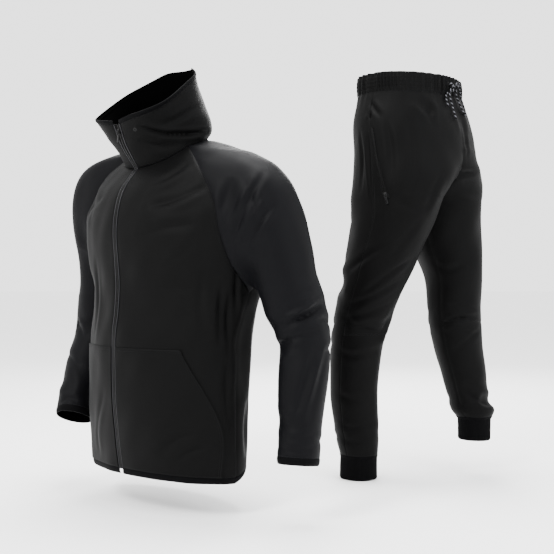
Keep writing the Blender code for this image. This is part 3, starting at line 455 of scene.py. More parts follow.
def bodyAt(rows):
    at = named(jacketBody, rows)
    joined = rows <= jacketBody["underarmRow"] + 1e-9
    for column in ("SeamX", "SeamY", "SeamZ"):
        front, back = at["front" + column], at["back" + column]
        at["front" + column] = np.where(joined, (front + back) / 2, front)
        at["back" + column] = np.where(joined, (front + back) / 2, back)
    return at


def arc(at, side, share):
    # Points from the middle of the front or back (share 0) to the seam (share 1).
    turn = np.radians(at[side + "Turn"])[:, None]
    seam = [at[side + "Seam" + axis][:, None] for axis in "XYZ"]
    middleY, middleZ = at[side + "Y"][:, None], at[side + "Z"][:, None]
    reach = (np.cos(share * turn) - np.cos(turn)) / (1 - np.cos(turn))
    x = seam[0] * np.sin(share * turn) / np.sin(turn)
    y = seam[1] + (middleY - seam[1]) * reach
    z = middleZ + (seam[2] - middleZ) * (1 - reach)
    return np.stack([x, y, z], axis=-1)


def frontGrids(rows):
    # The left front, and the zip's tape beside it.
    at = bodyAt(rows)
    turn = np.radians(at["frontTurn"])
    zipShare = jacketBody["zipHalfWidth"] * np.sin(turn) / at["frontSeamX"]
    zipShare = np.arcsin(np.clip(zipShare, 0, 1))[:, None] / turn[:, None]
    edge = tableAt(jacketBody["pocketEdge"], rows)[0][:, None]
    many = jacketBody["fineAcross"]
    inside = np.linspace(0, 1, jacketBody["pocketColumns"] * many + 1)[None, :]
    outside = np.linspace(0, 1, jacketBody["sideColumns"] * many + 1)[None, 1:]
    share = np.concatenate(
        [zipShare + (edge - zipShare) * inside, edge + (1 - edge) * outside], axis=1
    )
    tape = zipShare * np.linspace(0, 1, 5)[None, :]
    return arc(at, "front", share), arc(at, "front", tape)


def sleeveGrid(loop, frontLeaving, backLeaving, side):
    # From the raglan seam's loop, the way that front and back leave it, and the arm's rings.
    lean = unit(np.array([sleeves["lean"][side]]))
    neckCount = len(loop) - len(frontLeaving) - len(backLeaving)
    leaving = np.concatenate([frontLeaving, np.repeat(lean, neckCount, axis=0), backLeaving])
    table = {"columns": sleeves["columns"], "rows": sleeves[side]}
    shares = np.linspace(0, 1, sleeves["armRows"] + 1)
    at = named(table, shares)
    middle = np.stack([at["x"], at["y"], at["z"]], axis=1)
    along = unit(np.gradient(middle, axis=0))
    inward = np.array([-1.0, 0.0, 0.0])
    across = unit(inward - along * (along @ inward)[:, None])
    deep = unit(np.cross(across, along))
    deep *= np.sign(-deep[:, 1:2])
    around = np.linspace(0, 2 * np.pi, len(loop), endpoint=False)
    rings = (
        middle[:, None]
        + np.cos(around)[None, :, None] * (across * at["halfAcross"][:, None])[:, None]
        + np.sin(around)[None, :, None] * (deep * at["halfDeep"][:, None])[:, None]
    )
    chord = np.linalg.norm(rings[0] - loop, axis=1, keepdims=True)
    toward = unit(rings[0] - loop)
    climb = (loop[:, 2:] - loop[0, 2]) / np.ptp(loop[:, 2])
    outward = 0.5 + 0.5 * climb
    leaving = unit(leaving * (1 - outward) + lean * outward)
    pull = sleeves["leavingPull"] + sleeves["fullness"][side] * climb
    startPull = (sleeves["towardPull"] * toward + pull * leaving) * chord
    endWay = unit(middle[sleeves["armRows"] // 8] - middle[0])
    endPull = endWay * chord * (1.0 + sleeves["overPull"] * climb)
    t = np.linspace(0, 1, sleeves["shoulderRows"] + 1)[:-1, None, None]
    shoulder = hermite(loop[None], startPull[None], rings[0][None], endPull[None], t)
    whole = np.concatenate([shoulder, rings])
    # The corner at the neck end of the raglan seam is eased out over the shoulder.
    for turn in range(sleeves["easing"]):
        rows = slice(1 + turn // 8, None)  # the seam itself stays, and rows near it move least
        beside = np.roll(whole[rows], 1, axis=1) + np.roll(whole[rows], -1, axis=1)
        whole[rows] = whole[rows] / 2 + beside / 4
    return whole


def hoodGrid(bottom):
    # Up from the neck seam to a fold, and from there out to the slanting rim.
    angle = np.degrees(np.arctan2(bottom[:, 0], -bottom[:, 1]))
    at = named(hood, angle)
    away = np.stack([np.sin(np.radians(angle)), -np.cos(np.radians(angle))], axis=1)
    fold = np.concatenate([away * at["foldReach"][:, None], at["foldZ"][:, None]], axis=1)
    rim = np.concatenate([away * at["rimReach"][:, None], at["rimZ"][:, None]], axis=1)
    slope = (rim - bottom) * hood["pull"]
    low = np.linspace(0, 1, hood["lowRows"] * hood["fine"] + 1)[:, None, None]
    high = np.linspace(0, 1, hood["highRows"] * hood["fine"] + 1)[1:, None, None]
    lower = hermite(bottom[None], (fold - bottom)[None], fold[None], slope[None], low)
    upperSlope = slope * (1 - hood["pull"]) / hood["pull"]
    upper = hermite(fold[None], upperSlope[None], rim[None], (rim - fold)[None], high)
    grid = np.concatenate([lower, upper])
    step = np.arange(len(grid)) / hood["fine"]
    bulge = np.clip(1 - np.abs(step - hood["bulgeAt"]), 0, 1)
    tuck = bulge - np.clip(1 - np.abs(step - hood["creaseAt"]), 0, 1)
    depth = hood["crease"] * np.sin(np.radians(np.clip(angle, 0, 180)))
    level = np.concatenate([away, np.zeros((len(away), 1))], axis=1)
    return grid + tuck[:, None, None] * depth[None, :, None] * level[None]


def buildJacketSheets():
    rows = [0.0]
    for step, count in enumerate(jacketBody["rowsBetween"]):
        count *= jacketBody["fine"]
        rows += [step + (i + 1) / count for i in range(count)]
    rows = np.array(rows)
    many = jacketBody["fineAcross"]
    front, zipTape = frontGrids(rows)
    across = np.linspace(1, 0, jacketBody["backColumns"] * many + 1)[None, :]
    back = arc(bodyAt(rows), "back", across * np.ones((len(rows), 1)))
    upper = rows >= jacketBody["underarmRow"] - 1e-9
    frontLine, backLine = front[upper, -1], back[upper, 0]
    lean = np.array(jacketBody["neckLean"])
    t = np.linspace(0, 1, jacketBody["neckColumns"] * jacketBody["fine"] + 1)[1:-1, None]
    neck = hermite(frontLine[-1], lean, backLine[-1], lean * (-1, 1, 1), t)
    loop = np.concatenate([frontLine, neck, backLine[::-1][:-1]])
    frontLeaving = unit(frontLine - front[upper, -1 - many])
    backLeaving = unit(backLine - back[upper, many])[::-1][:-1]
    bottom = np.concatenate([front[-1], neck, back[-1]])
    hoodHalf = hoodGrid(bottom)
    tapeGrid = np.concatenate([zipTape, hoodGrid(zipTape[-1])[1:]])

    addSheet("jacket", "front_left", front)
    addSheet("jacket", "front_right", mirrored(front))
    addSheet("jacket", "back", np.concatenate([back, mirrored(back)[:, 1:]], axis=1))
    for side in ("left", "right"):
        sleeve = sleeveGrid(loop, frontLeaving, backLeaving, side)
        ring = sleeve[-1]
        down = unit(ring.mean(axis=0) - sleeve[-2].mean(axis=0))
        inset = ring.mean(axis=0) + (ring - ring.mean(axis=0)) * sleeves["bindingShare"]
        binding = np.stack([ring, inset + down * sleeves["binding"]])
        if side == "right":
            sleeve, binding = mirrored(sleeve), mirrored(binding)
        addSheet("jacket", f"sleeve_{side}", sleeve[::-1], closed=True)
        addSheet("jacket", f"cuff_binding_{side}", binding[::-1], closed=True)
    addSheet("jacket", "hood_left", hoodHalf)
    addSheet("jacket", "hood_right", mirrored(hoodHalf))
    addSheet("jacket", "zip_tape_left", tapeGrid)
    addSheet("jacket", "zip_tape_right", mirrored(tapeGrid))
    rim = np.concatenate([hoodHalf[-1], mirrored(hoodHalf)[-1][1:]])
    above = np.concatenate([hoodHalf[-2], mirrored(hoodHalf)[-2][1:]])
    addSheet("jacket", "hood_rim", np.stack([rim, rim + unit(rim - above) * hood["binding"]]))
    hemLine = np.concatenate([front[0], back[0][1:]])
    hemLine = np.concatenate([hemLine, (hemLine * (-1, 1, 1))[::-1][1:]])
    hemEdge = hemLine * jacketBody["hemShare"] - (0, 0, jacketBody["hemBinding"])
    addSheet("jacket", "hem_binding", np.stack([hemEdge, hemLine]))
    return rows


trousers = {
    "hip": {
        "columns": "z halfWidth frontDepth backDepth middleY split",
        "rows": [
            (-0.045, 0.159, 0.116, 0.106, 0.006, 0.00),
            (-0.110, 0.174, 0.134, 0.116, 0.002, 0.00),
            (-0.190, 0.180, 0.137, 0.119, -0.008, 0.10),
            (-0.250, 0.180, 0.130, 0.115, -0.013, 0.62),
            (-0.290, 0.180, 0.120, 0.112, -0.012, 1.00),
        ],
    },
    "legColumns": "z x y halfWidth frontDepth backDepth",
    "right": [
        (-0.290, 0.0900, -0.012, 0.0898, 0.120, 0.112),
        (-0.330, 0.0950, -0.014, 0.0880, 0.104, 0.110),
        (-0.400, 0.1060, 0.003, 0.0820, 0.092, 0.094),
        (-0.470, 0.1150, 0.024, 0.0750, 0.081, 0.081),
        (-0.560, 0.1190, 0.058, 0.0660, 0.069, 0.070),
        (-0.620, 0.1200, 0.074, 0.0620, 0.064, 0.065),
        (-0.700, 0.1200, 0.083, 0.0570, 0.059, 0.060),
        (-0.780, 0.1200, 0.085, 0.0540, 0.056, 0.056),
        (-0.860, 0.1200, 0.076, 0.0490, 0.051, 0.051),
        (-0.895, 0.1200, 0.072, 0.0450, 0.047, 0.047),
    ],
    "left": [
        (-0.290, 0.0900, -0.012, 0.0898, 0.120, 0.112),
        (-0.330, 0.0950, -0.024, 0.0880, 0.104, 0.108),
        (-0.400, 0.1060, -0.036, 0.0790, 0.088, 0.090),
        (-0.470, 0.1150, -0.050, 0.0690, 0.073, 0.074),
        (-0.560, 0.1170, -0.052, 0.0650, 0.066, 0.066),
        (-0.630, 0.1190, -0.058, 0.0610, 0.062, 0.062),
        (-0.710, 0.1250, -0.074, 0.0550, 0.056, 0.056),
        (-0.780, 0.1290, -0.088, 0.0490, 0.050, 0.050),
        (-0.800, 0.1300, -0.095, 0.0500, 0.052, 0.052),
        (-0.816, 0.1300, -0.100, 0.0430, 0.045, 0.045),
    ],
    "hipRows": 56,
    "thighRows": 70,
    "shinRows": 54,
    "kneeZ": {"left": -0.585, "right": -0.612},
    "shares": (1.0, 0.86, 0.72, 0.58, 0.44, 0.30, 0.16, 0.05, 0.0),
    "fine": 7,
    "waistbandHeight": 0.042,
    "waistbandShare": (0.985, 0.985, 1),
    "waistbandSwell": (1.01, 1.01, 1),
    "cuffHeight": 0.056,
    "cuffRings": (1.0, 0.5, 0.12),
    "cuffHalfWidth": {"left": 0.0390, "right": 0.0430},
}


def legSections(side):
    # Sections of one leg from the waist down; its hip half opens out from the other's.
    rows, knee = trousers[side], trousers["kneeZ"][side]
    waist, crotch = trousers["hip"]["rows"][0][0], trousers["hip"]["rows"][-1][0]
    hipZ = np.linspace(waist, crotch, trousers["hipRows"] + 1)
    hip = named(trousers["hip"], hipZ)
    split = np.clip(hip["split"], 0, 1)
    split[-1] = 1.0
    half = hip["halfWidth"] / (1 + split)
    low = np.concatenate([
        np.linspace(hipZ[-1], knee, trousers["thighRows"] + 1)[1:],
        np.linspace(knee, rows[-1][0], trousers["shinRows"] + 1)[1:],
    ])
    leg = named({"columns": trousers["legColumns"], "rows": rows}, low)
    return {
        "z": np.concatenate([hipZ, low]),
        "x": np.concatenate([half * split, leg["x"]]),
        "y": np.concatenate([hip["middleY"], leg["y"]]),
        "halfWidth": np.concatenate([half, leg["halfWidth"]]),
        "frontDepth": np.concatenate([hip["frontDepth"], leg["frontDepth"]]),
        "backDepth": np.concatenate([hip["backDepth"], leg["backDepth"]]),
        "split": np.concatenate([split, np.ones(len(low))]),
    }


def legRing(at, shares, depth, side):
    # The front or back half of every section, from the outer seam to the inner one.
    angle = np.arccos(-at["split"][:, None]) * shares[None, :]
    x = at["x"][:, None] + at["halfWidth"][:, None] * np.cos(angle)
    y = at["y"][:, None] + side * at[depth][:, None] * np.sin(angle)
    return np.stack([x, y, at["z"][:, None] * np.ones_like(x)], axis=-1)


def buildTrouserSheets():
    count = len(trousers["shares"])
    steps = np.arange((count - 1) * trousers["fine"] + 1) / trousers["fine"]
    shares = np.interp(steps, np.arange(count), trousers["shares"])
    tops = {}
    for side in ("left", "right"):
        at = legSections(side)
        front = legRing(at, shares, "frontDepth", -1)[::-1]
        back = legRing(at, shares[::-1], "backDepth", 1)[::-1]
        knee = trousers["shinRows"]
        end = np.concatenate([front[0], back[0][1:-1]])
        middle = end.mean(axis=0)
        reach = trousers["cuffHalfWidth"][side] / (np.ptp(end[:, 0]) / 2)
        narrow = middle + (end - middle) * (reach, reach, 1)
        drop = np.array([0, 0, -trousers["cuffHeight"]])
        cuff = np.stack([*(narrow + drop * share for share in trousers["cuffRings"]), end])
        grids = {"front": front[knee:], "shin": front[: knee + 1], "back": back}
        for part, grid in grids.items():
            grid = grid if side == "left" else mirrored(grid)
            addSheet("trousers", f"trouser_{part}_{side}", grid)
        cuff = cuff if side == "left" else mirrored(cuff)
        addSheet("trousers", f"cuff_{side}", cuff, closed=True)
        tops[side] = np.concatenate([front[-1], back[-1][1:]])
    line = np.concatenate([tops["left"], (tops["left"] * (-1, 1, 1))[::-1][1:-1]])
    top = line * trousers["waistbandShare"] + (0, 0, trousers["waistbandHeight"])
    middle = (line + top) / 2 * trousers["waistbandSwell"]
    addSheet("trousers", "waistband", np.stack([line, middle, top]), closed=True)


bodyRows = buildJacketSheets()
buildTrouserSheets()


def cellsOf(rows, columns, closed):
    # The corners of each cell between the points of a grid, and the cell's row and column.
    spans = columns if closed else columns - 1
    i, j = (a.ravel() for a in np.meshgrid(np.arange(rows - 1), np.arange(spans), indexing="ij"))
    k = (j + 1) % columns
    corners = [i * columns + j, i * columns + k, (i + 1) * columns + k, (i + 1) * columns + j]
    return np.stack(corners, -1), i, j


def facingOf(grid, closed):
    # The way out of the cloth at each point, from the cells round it.
    here = grid if closed else grid[:, :-1]
    beside = np.roll(grid, -1, axis=1) if closed else grid[:, 1:]
    cells = unit(np.cross(beside[1:] - here[:-1], here[1:] - beside[:-1]))
    total = np.zeros_like(grid)
    for rows in (slice(None, -1), slice(1, None)):
        if closed:
            total[rows] += cells + np.roll(cells, 1, axis=1)
        else:
            total[rows, :-1] += cells
            total[rows, 1:] += cells
    return unit(total)


def sharedPoints():
    # Points of neighbouring sheets that lie together, within 0.05 mm, get one number.
    points = np.concatenate([s["grid"].reshape(-1, 3) for s in sheets.values()])
    steps = np.round(points * 2e4).astype(np.int64)
    return np.unique(steps, axis=0, return_inverse=True)[1].ravel()


shared = sharedPoints()


def settle():
    # Each point faces the mean way of the cloth round it, across the seams too.
    facing = np.concatenate(
        [facingOf(s["grid"], s["closed"]).reshape(-1, 3) for s in sheets.values()]
    )
    total = np.zeros((shared.max() + 1, 3))
    np.add.at(total, shared, facing)
    spread(unit(total)[shared], "facing")


def spread(values, key):
    start = 0
    for s in sheets.values():
        count = s["grid"].shape[0] * s["grid"].shape[1]
        s[key] = values[start : start + count].reshape(*s["grid"].shape[:2], -1)
        start += count


def shiftAll(shift):
    # Moves every point along its facing, and points on a seam by the same amount.
    total, count = np.zeros(shared.max() + 1), np.zeros(shared.max() + 1)
    np.add.at(total, shared, shift)
    np.add.at(count, shared, 1)
    spread((total / count)[shared], "shift")
    for s in sheets.values():
        s["grid"] = s["grid"] + s["facing"] * s["shift"]


settle()
print("tracksuit: surfaces laid out")

# Folds

# Folds that the frame has too: from x y z, to x y z, half width, depth, in the garment's frame.
frameFolds = {
    "jacket": [
        (0.285, 0.050, -0.372, 0.368, 0.110, -0.325, 0.016, 0.0080),
        (0.290, 0.050, -0.415, 0.340, 0.050, -0.395, 0.014, 0.0040),
        (0.235, -0.010, -0.075, 0.245, -0.010, -0.180, 0.018, 0.0060),
        (0.285, 0.040, -0.135, 0.262, 0.010, -0.225, 0.018, 0.0060),
        (0.090, -0.100, -0.130, 0.170, -0.040, -0.085, 0.020, 0.0050),
        (0.205, 0.010, -0.300, 0.200, 0.010, -0.400, 0.018, 0.0050),
        (0.212, 0.060, -0.330, 0.208, 0.050, -0.520, 0.020, 0.0050),
        (0.205, 0.080, -0.520, 0.208, 0.070, -0.640, 0.018, 0.0050),
        (0.300, 0.040, -0.545, 0.375, 0.050, -0.560, 0.014, 0.0035),
        (-0.250, 0.010, -0.385, -0.320, 0.060, -0.350, 0.016, 0.0070),
        (-0.240, 0.000, -0.130, -0.250, -0.010, -0.210, 0.020, 0.0060),
        (-0.240, -0.080, -0.520, -0.290, -0.030, -0.505, 0.014, 0.0040),
        (-0.110, -0.100, -0.130, -0.170, -0.040, -0.100, 0.020, 0.0040),
        (-0.208, 0.050, -0.340, -0.206, 0.050, -0.560, 0.020, 0.0050),
        (-0.120, 0.170, -0.260, 0.110, 0.175, -0.300, 0.022, 0.0050),
        (-0.060, 0.165, -0.480, 0.150, 0.130, -0.430, 0.022, 0.0050),
    ],
    "trousers": [
        (-0.060, -0.060, -0.590, -0.180, 0.050, -0.600, 0.020, 0.0060),
        (-0.170, 0.100, -0.520, -0.100, -0.020, -0.560, 0.020, 0.0050),
        (-0.130, 0.150, -0.470, -0.180, 0.060, -0.500, 0.022, 0.0050),
        (-0.100, 0.160, -0.310, -0.060, 0.140, -0.330, 0.022, 0.0060),
        (0.060, 0.060, -0.330, 0.130, 0.110, -0.310, 0.022, 0.0060),
        (0.050, -0.060, -0.585, 0.180, -0.050, -0.570, 0.018, 0.0060),
        (0.120, 0.020, -0.545, 0.180, 0.010, -0.540, 0.020, 0.0050),
        (0.080, -0.160, -0.765, 0.180, -0.120, -0.785, 0.013, 0.0060),
        (0.070, -0.120, -0.740, 0.180, -0.070, -0.755, 0.014, 0.0040),
        (-0.070, 0.040, -0.840, -0.170, 0.100, -0.850, 0.016, 0.0040),
        (0.010, -0.135, -0.060, 0.020, -0.140, -0.140, 0.016, 0.0040),
        (-0.120, -0.100, -0.060, -0.090, -0.120, -0.100, 0.014, 0.0050),
        (0.020, -0.125, -0.245, 0.120, -0.135, -0.245, 0.018, 0.0040),
    ],
}


frameFoldForm = {"bank": 0.45, "bankAt": 1.6, "bankSpread": 0.4, "reach": 0.034, "fade": 0.020}
foldForm = {
    # A trough is a soft dip with a sharper core, and a bank stands up on either side of it.
    "dip": 0.7,
    "core": 0.4,
    "coreWidth": 0.45,
    "banks": ((1.8, 0.5), (-1.8, 0.25)),
    "bankSpread": 0.9,
    "reach": 0.012,
    "ends": 0.7,
}


def allOf(key):
    # One list of points, or of facings, for all the sheets together.
    return np.concatenate([s[key].reshape(-1, s[key].shape[-1]) for s in sheets.values()])


def madeOf(test):
    # Which of those points belong to the sheets that pass a test.
    return np.concatenate(
        [np.full(s["grid"].size // 3, bool(test(name, s))) for name, s in sheets.items()]
    )


def pressFrameFolds():
    points, facing = allOf("grid"), allOf("facing")
    shift = np.zeros(len(points))
    for garment, folds in frameFolds.items():
        mine = madeOf(lambda name, s: s["garment"] == garment)
        for fold in folds:
            start, end = inScene(garment, fold[:3]), inScene(garment, fold[3:6])
            run = end - start
            along = np.clip((points - start) @ run / (run @ run), 0, 1)
            off = points - start - along[:, None] * run
            proud = (off * facing).sum(axis=1)
            aside = np.linalg.norm(off - proud[:, None] * facing, axis=1) / fold[6]
            ends = np.clip(np.sin(np.pi * along), 0, 1) ** foldForm["ends"]
            form = frameFoldForm
            bank = np.exp(-((aside - form["bankAt"]) ** 2) / form["bankSpread"])
            trough = np.exp(-(aside**2)) - form["bank"] * bank
            near = np.clip((form["reach"] - np.abs(proud)) / form["fade"], 0, 1) ** 1.5
            shift -= mine * fold[7] * ends * trough * near
    shiftAll(shift)


pressFrameFolds()
settle()


def surfaceTree(names):
    vertices, faces, start = [], [], 0
    for name in names:
        grid = sheets[name]["grid"]
        vertices.append(grid.reshape(-1, 3))
        faces.append(cellsOf(*grid.shape[:2], sheets[name]["closed"])[0] + start)
        start += len(vertices[-1])
    return BVHTree.FromPolygons(np.concatenate(vertices).tolist(), np.concatenate(faces).tolist())


trees = {}


def treeOf(names):
    key = " ".join(names)
    if key not in trees:
        trees[key] = surfaceTree(names)
    return trees[key]


def seenAt(spot, names):
    # The point of these sheets that the camera sees at a pixel of its 554 by 554 picture.
    half = view["pixels"] / 2
    ray = Vector(((spot[0] - half) / pixelFocal, 1.0, (half - spot[1]) / pixelFocal))
    tree = treeOf(names)
    hit = tree.ray_cast(Vector(view["place"]), ray.normalized())[0]
    if hit is None:
        middle = np.mean([sheets[n]["grid"].mean(axis=(0, 1)) for n in names], axis=0)
        away = middle[1] - view["place"][1]
        hit = tree.find_nearest(Vector(view["place"]) + ray * away)[0]
    return np.array(hit)


def nearestOn(point, names):
    return np.array(treeOf(names).find_nearest(Vector(point))[0])


def smoothLine(points, count=14):
    # A curve of evenly keyed points through a few.
    points = np.array(points, float)
    if len(points) < 3:
        return points[0] + (points[-1] - points[0]) * np.linspace(0, 1, count)[:, None]
    keyed = np.column_stack([np.arange(len(points)), points])
    return tableAt(keyed, np.linspace(0, len(points) - 1, count)).T


def foldShift(points, facing, line, halfWidth, depth, phase):
    # A trough with soft uneven banks along a line on the cloth; a negative depth is a ridge.
    low, high = line.min(axis=0) - halfWidth * 4, line.max(axis=0) + halfWidth * 4
    chosen = np.nonzero(((points > low) & (points < high)).all(axis=1))[0]
    best = np.full(len(chosen), np.inf)
    aside, along, proudness = (np.zeros(len(chosen)) for _ in range(3))
    p, f = points[chosen], facing[chosen]
    for k in range(len(line) - 1):
        run = line[k + 1] - line[k]
        t = np.clip((p - line[k]) @ run / max(run @ run, 1e-12), 0, 1)
        off = p - line[k] - t[:, None] * run
        proud = (off * f).sum(axis=1)
        flat = off - proud[:, None] * f
        height = np.abs(proud)
        distance = np.linalg.norm(flat, axis=1) + 2 * height * (height > foldForm["reach"])
        closer = distance < best
        sign = np.sign((np.cross(run, flat) * f).sum(axis=1))
        best = np.where(closer, distance, best)
        aside = np.where(closer, np.linalg.norm(flat, axis=1) * sign, aside)
        along = np.where(closer, (k + t) / (len(line) - 1), along)
        proudness = np.where(closer, height, proudness)
    s = aside / halfWidth
    core = foldForm["core"] * np.exp(-((s / foldForm["coreWidth"]) ** 2))
    profile = foldForm["dip"] * np.exp(-(s**2)) + core
    for bankAt, bank in foldForm["banks"]:
        profile -= bank * np.exp(-((s - bankAt) ** 2) / foldForm["bankSpread"])
    ends = np.clip(np.sin(np.pi * np.clip(along, 0.02, 0.98)), 0, 1) ** foldForm["ends"]
    uneven = 0.85 + 0.15 * np.sin(5.0 * along + phase)
    reach = np.clip(1.5 - proudness / foldForm["reach"], 0, 1)
    shift = np.zeros(len(points))
    shift[chosen] = -depth * profile * ends * uneven * reach
    return shift


# Folds placed where the camera sees them: the sheets, and for each fold half width and depth
# in mm, and the pixels that it runs through. A negative depth is a ridge.
seenFolds = [
    (("hood_left", "hood_right"), [
        (5, 8.0, [(140, 127), (152, 131), (166, 134), (188, 134), (207, 132)]),
    ]),
    (("hood_left",), [
        (7, 3.0, [(150, 114), (165, 107), (184, 94)]),
        (7, 3.0, [(160, 126), (180, 118), (200, 103)]),
        (7, 2.5, [(136, 140), (160, 147), (186, 144)]),
    ]),
    (("front_left",), [
        (8, 4.5, [(148, 207), (178, 198), (209, 185)]),
        (10, 2.5, [(140, 236), (165, 228), (196, 224)]),
        (8, 3.0, [(150, 186), (170, 176), (190, 162)]),
        (9, 2.5, [(166, 262), (182, 254), (196, 240)]),
    ]),
    (("sleeve_left",), [
        (7, 5.0, [(264, 172), (252, 194), (239, 221), (232, 240)]),
        (6, -2.5, [(253, 178), (241, 200), (229, 225)]),
        (6, 4.5, [(275, 203), (260, 222), (246, 242)]),
        (5, -2.5, [(266, 196), (254, 214), (242, 232)]),
        (9, 3.0, [(236, 176), (226, 196), (220, 214)]),
        (7, 6.0, [(280, 330), (296, 321), (311, 313), (325, 303)]),
        (6, -3.0, [(284, 318), (301, 310), (322, 296)]),
        (6, 3.5, [(279, 345), (296, 338), (318, 333)]),
        (7, 2.5, [(282, 300), (300, 294), (316, 284)]),
        (7, -2.5, [(325, 343), (314, 380), (302, 424)]),
        (8, 3.0, [(316, 350), (304, 388), (294, 420)]),
        (6, 2.2, [(276, 446), (296, 452), (313, 450)]),
        (6, 2.0, [(279, 434), (297, 440), (315, 436)]),
        (10, 2.5, [(240, 172), (252, 200), (258, 232)]),
    ]),
    (("front_left",), [
        (6, 4.0, [(222, 284), (219, 316), (220, 346)]),
        (5, 3.0, [(229, 292), (227, 322), (229, 356)]),
        (6, 3.5, [(238, 262), (236, 288), (236, 318)]),
        (8, 3.0, [(228, 362), (226, 396), (230, 436)]),
        (8, 3.5, [(160, 452), (176, 440), (196, 432)]),
        (7, 3.0, [(172, 464), (190, 452), (206, 448)]),
        (8, 2.0, [(205, 262), (200, 300), (203, 338)]),
    ]),
    (("front_right",), [
        (9, 3.0, [(96, 262), (98, 300), (94, 338)]),
        (8, 2.5, [(104, 392), (98, 426), (100, 452)]),
        (9, 2.5, [(104, 196), (92, 208), (84, 224)]),
    ]),
    (("sleeve_right",), [
        (8, 3.5, [(70, 318), (78, 326), (84, 338)]),
        (8, 3.0, [(66, 352), (74, 362), (82, 366)]),
        (7, 2.5, [(58, 404), (68, 398), (78, 402)]),
    ]),
    (("trouser_front_right",), [
        (6, 4.5, [(369, 99), (374, 108), (381, 117)]),
        (5, 3.5, [(356, 119), (362, 116), (369, 113)]),
    ]),
    (("trouser_front_right", "trouser_back_right"), [
        (5, 3.5, [(360, 130), (362, 158), (361, 190)]),
        (5, 3.0, [(368, 136), (369, 162), (371, 196)]),
        (6, -2.0, [(365, 132), (366, 160), (369, 198)]),
    ]),
    (("trouser_front_right",), [
        (8, 3.5, [(386, 120), (391, 148), (392, 180)]),
        (10, 2.5, [(408, 112), (412, 150), (410, 190)]),
        (8, 3.5, [(428, 96), (430, 110), (432, 126)]),
    ]),
    (("trouser_front_left",), [
        (7, 2.5, [(462, 122), (466, 140), (468, 160)]),
    ]),
    (("trouser_front_right", "trouser_front_left"), [
        (8, 3.5, [(442, 174), (434, 191), (425, 214)]),
    ]),
    (("trouser_front_left",), [
        (6, 6.0, [(443, 173), (458, 174), (478, 172)]),
        (8, -2.0, [(448, 150), (462, 150), (476, 152)]),
    ]),
    (("trouser_front_right",), [
        (10, 2.5, [(398, 200), (414, 208), (430, 206)]),
    ]),
    (("trouser_front_right", "trouser_back_right"), [
        (7, 4.0, [(413, 258), (388, 275), (360, 296)]),
        (7, 4.0, [(402, 281), (378, 294), (348, 306)]),
        (8, 3.0, [(384, 246), (364, 258), (346, 272)]),
        (7, 3.0, [(396, 301), (366, 314), (342, 318)]),
    ]),
    (("trouser_front_right",), [
        (8, 2.5, [(420, 220), (404, 240), (392, 256)]),
    ]),
    (("trouser_front_right", "trouser_shin_right"), [
        (8, 4.5, [(344, 318), (362, 330), (388, 333)]),
    ]),
    (("trouser_shin_right",), [
        (8, 3.5, [(338, 352), (356, 356), (378, 350)]),
        (9, 2.5, [(336, 392), (352, 400), (370, 396)]),
        (7, 3.0, [(336, 436), (352, 442), (372, 436)]),
        (6, 2.5, [(338, 424), (354, 428), (374, 422)]),
    ]),
    (("trouser_front_left", "trouser_shin_left"), [
        (6, 5.0, [(442, 324), (460, 318), (482, 316)]),
    ]),
    (("trouser_front_left",), [
        (6, 3.0, [(446, 306), (462, 306), (480, 310)]),
    ]),
    (("trouser_shin_left",), [
        (6, 3.0, [(452, 352), (464, 344), (480, 330)]),
        (7, 3.0, [(440, 336), (458, 332), (476, 334)]),
        (7, 4.5, [(462, 392), (474, 398), (488, 405)]),
        (6, 3.5, [(458, 404), (472, 410), (490, 412)]),
    ]),
    (("trouser_front_left",), [
        (9, 2.5, [(432, 262), (448, 270), (468, 262)]),
    ]),
]
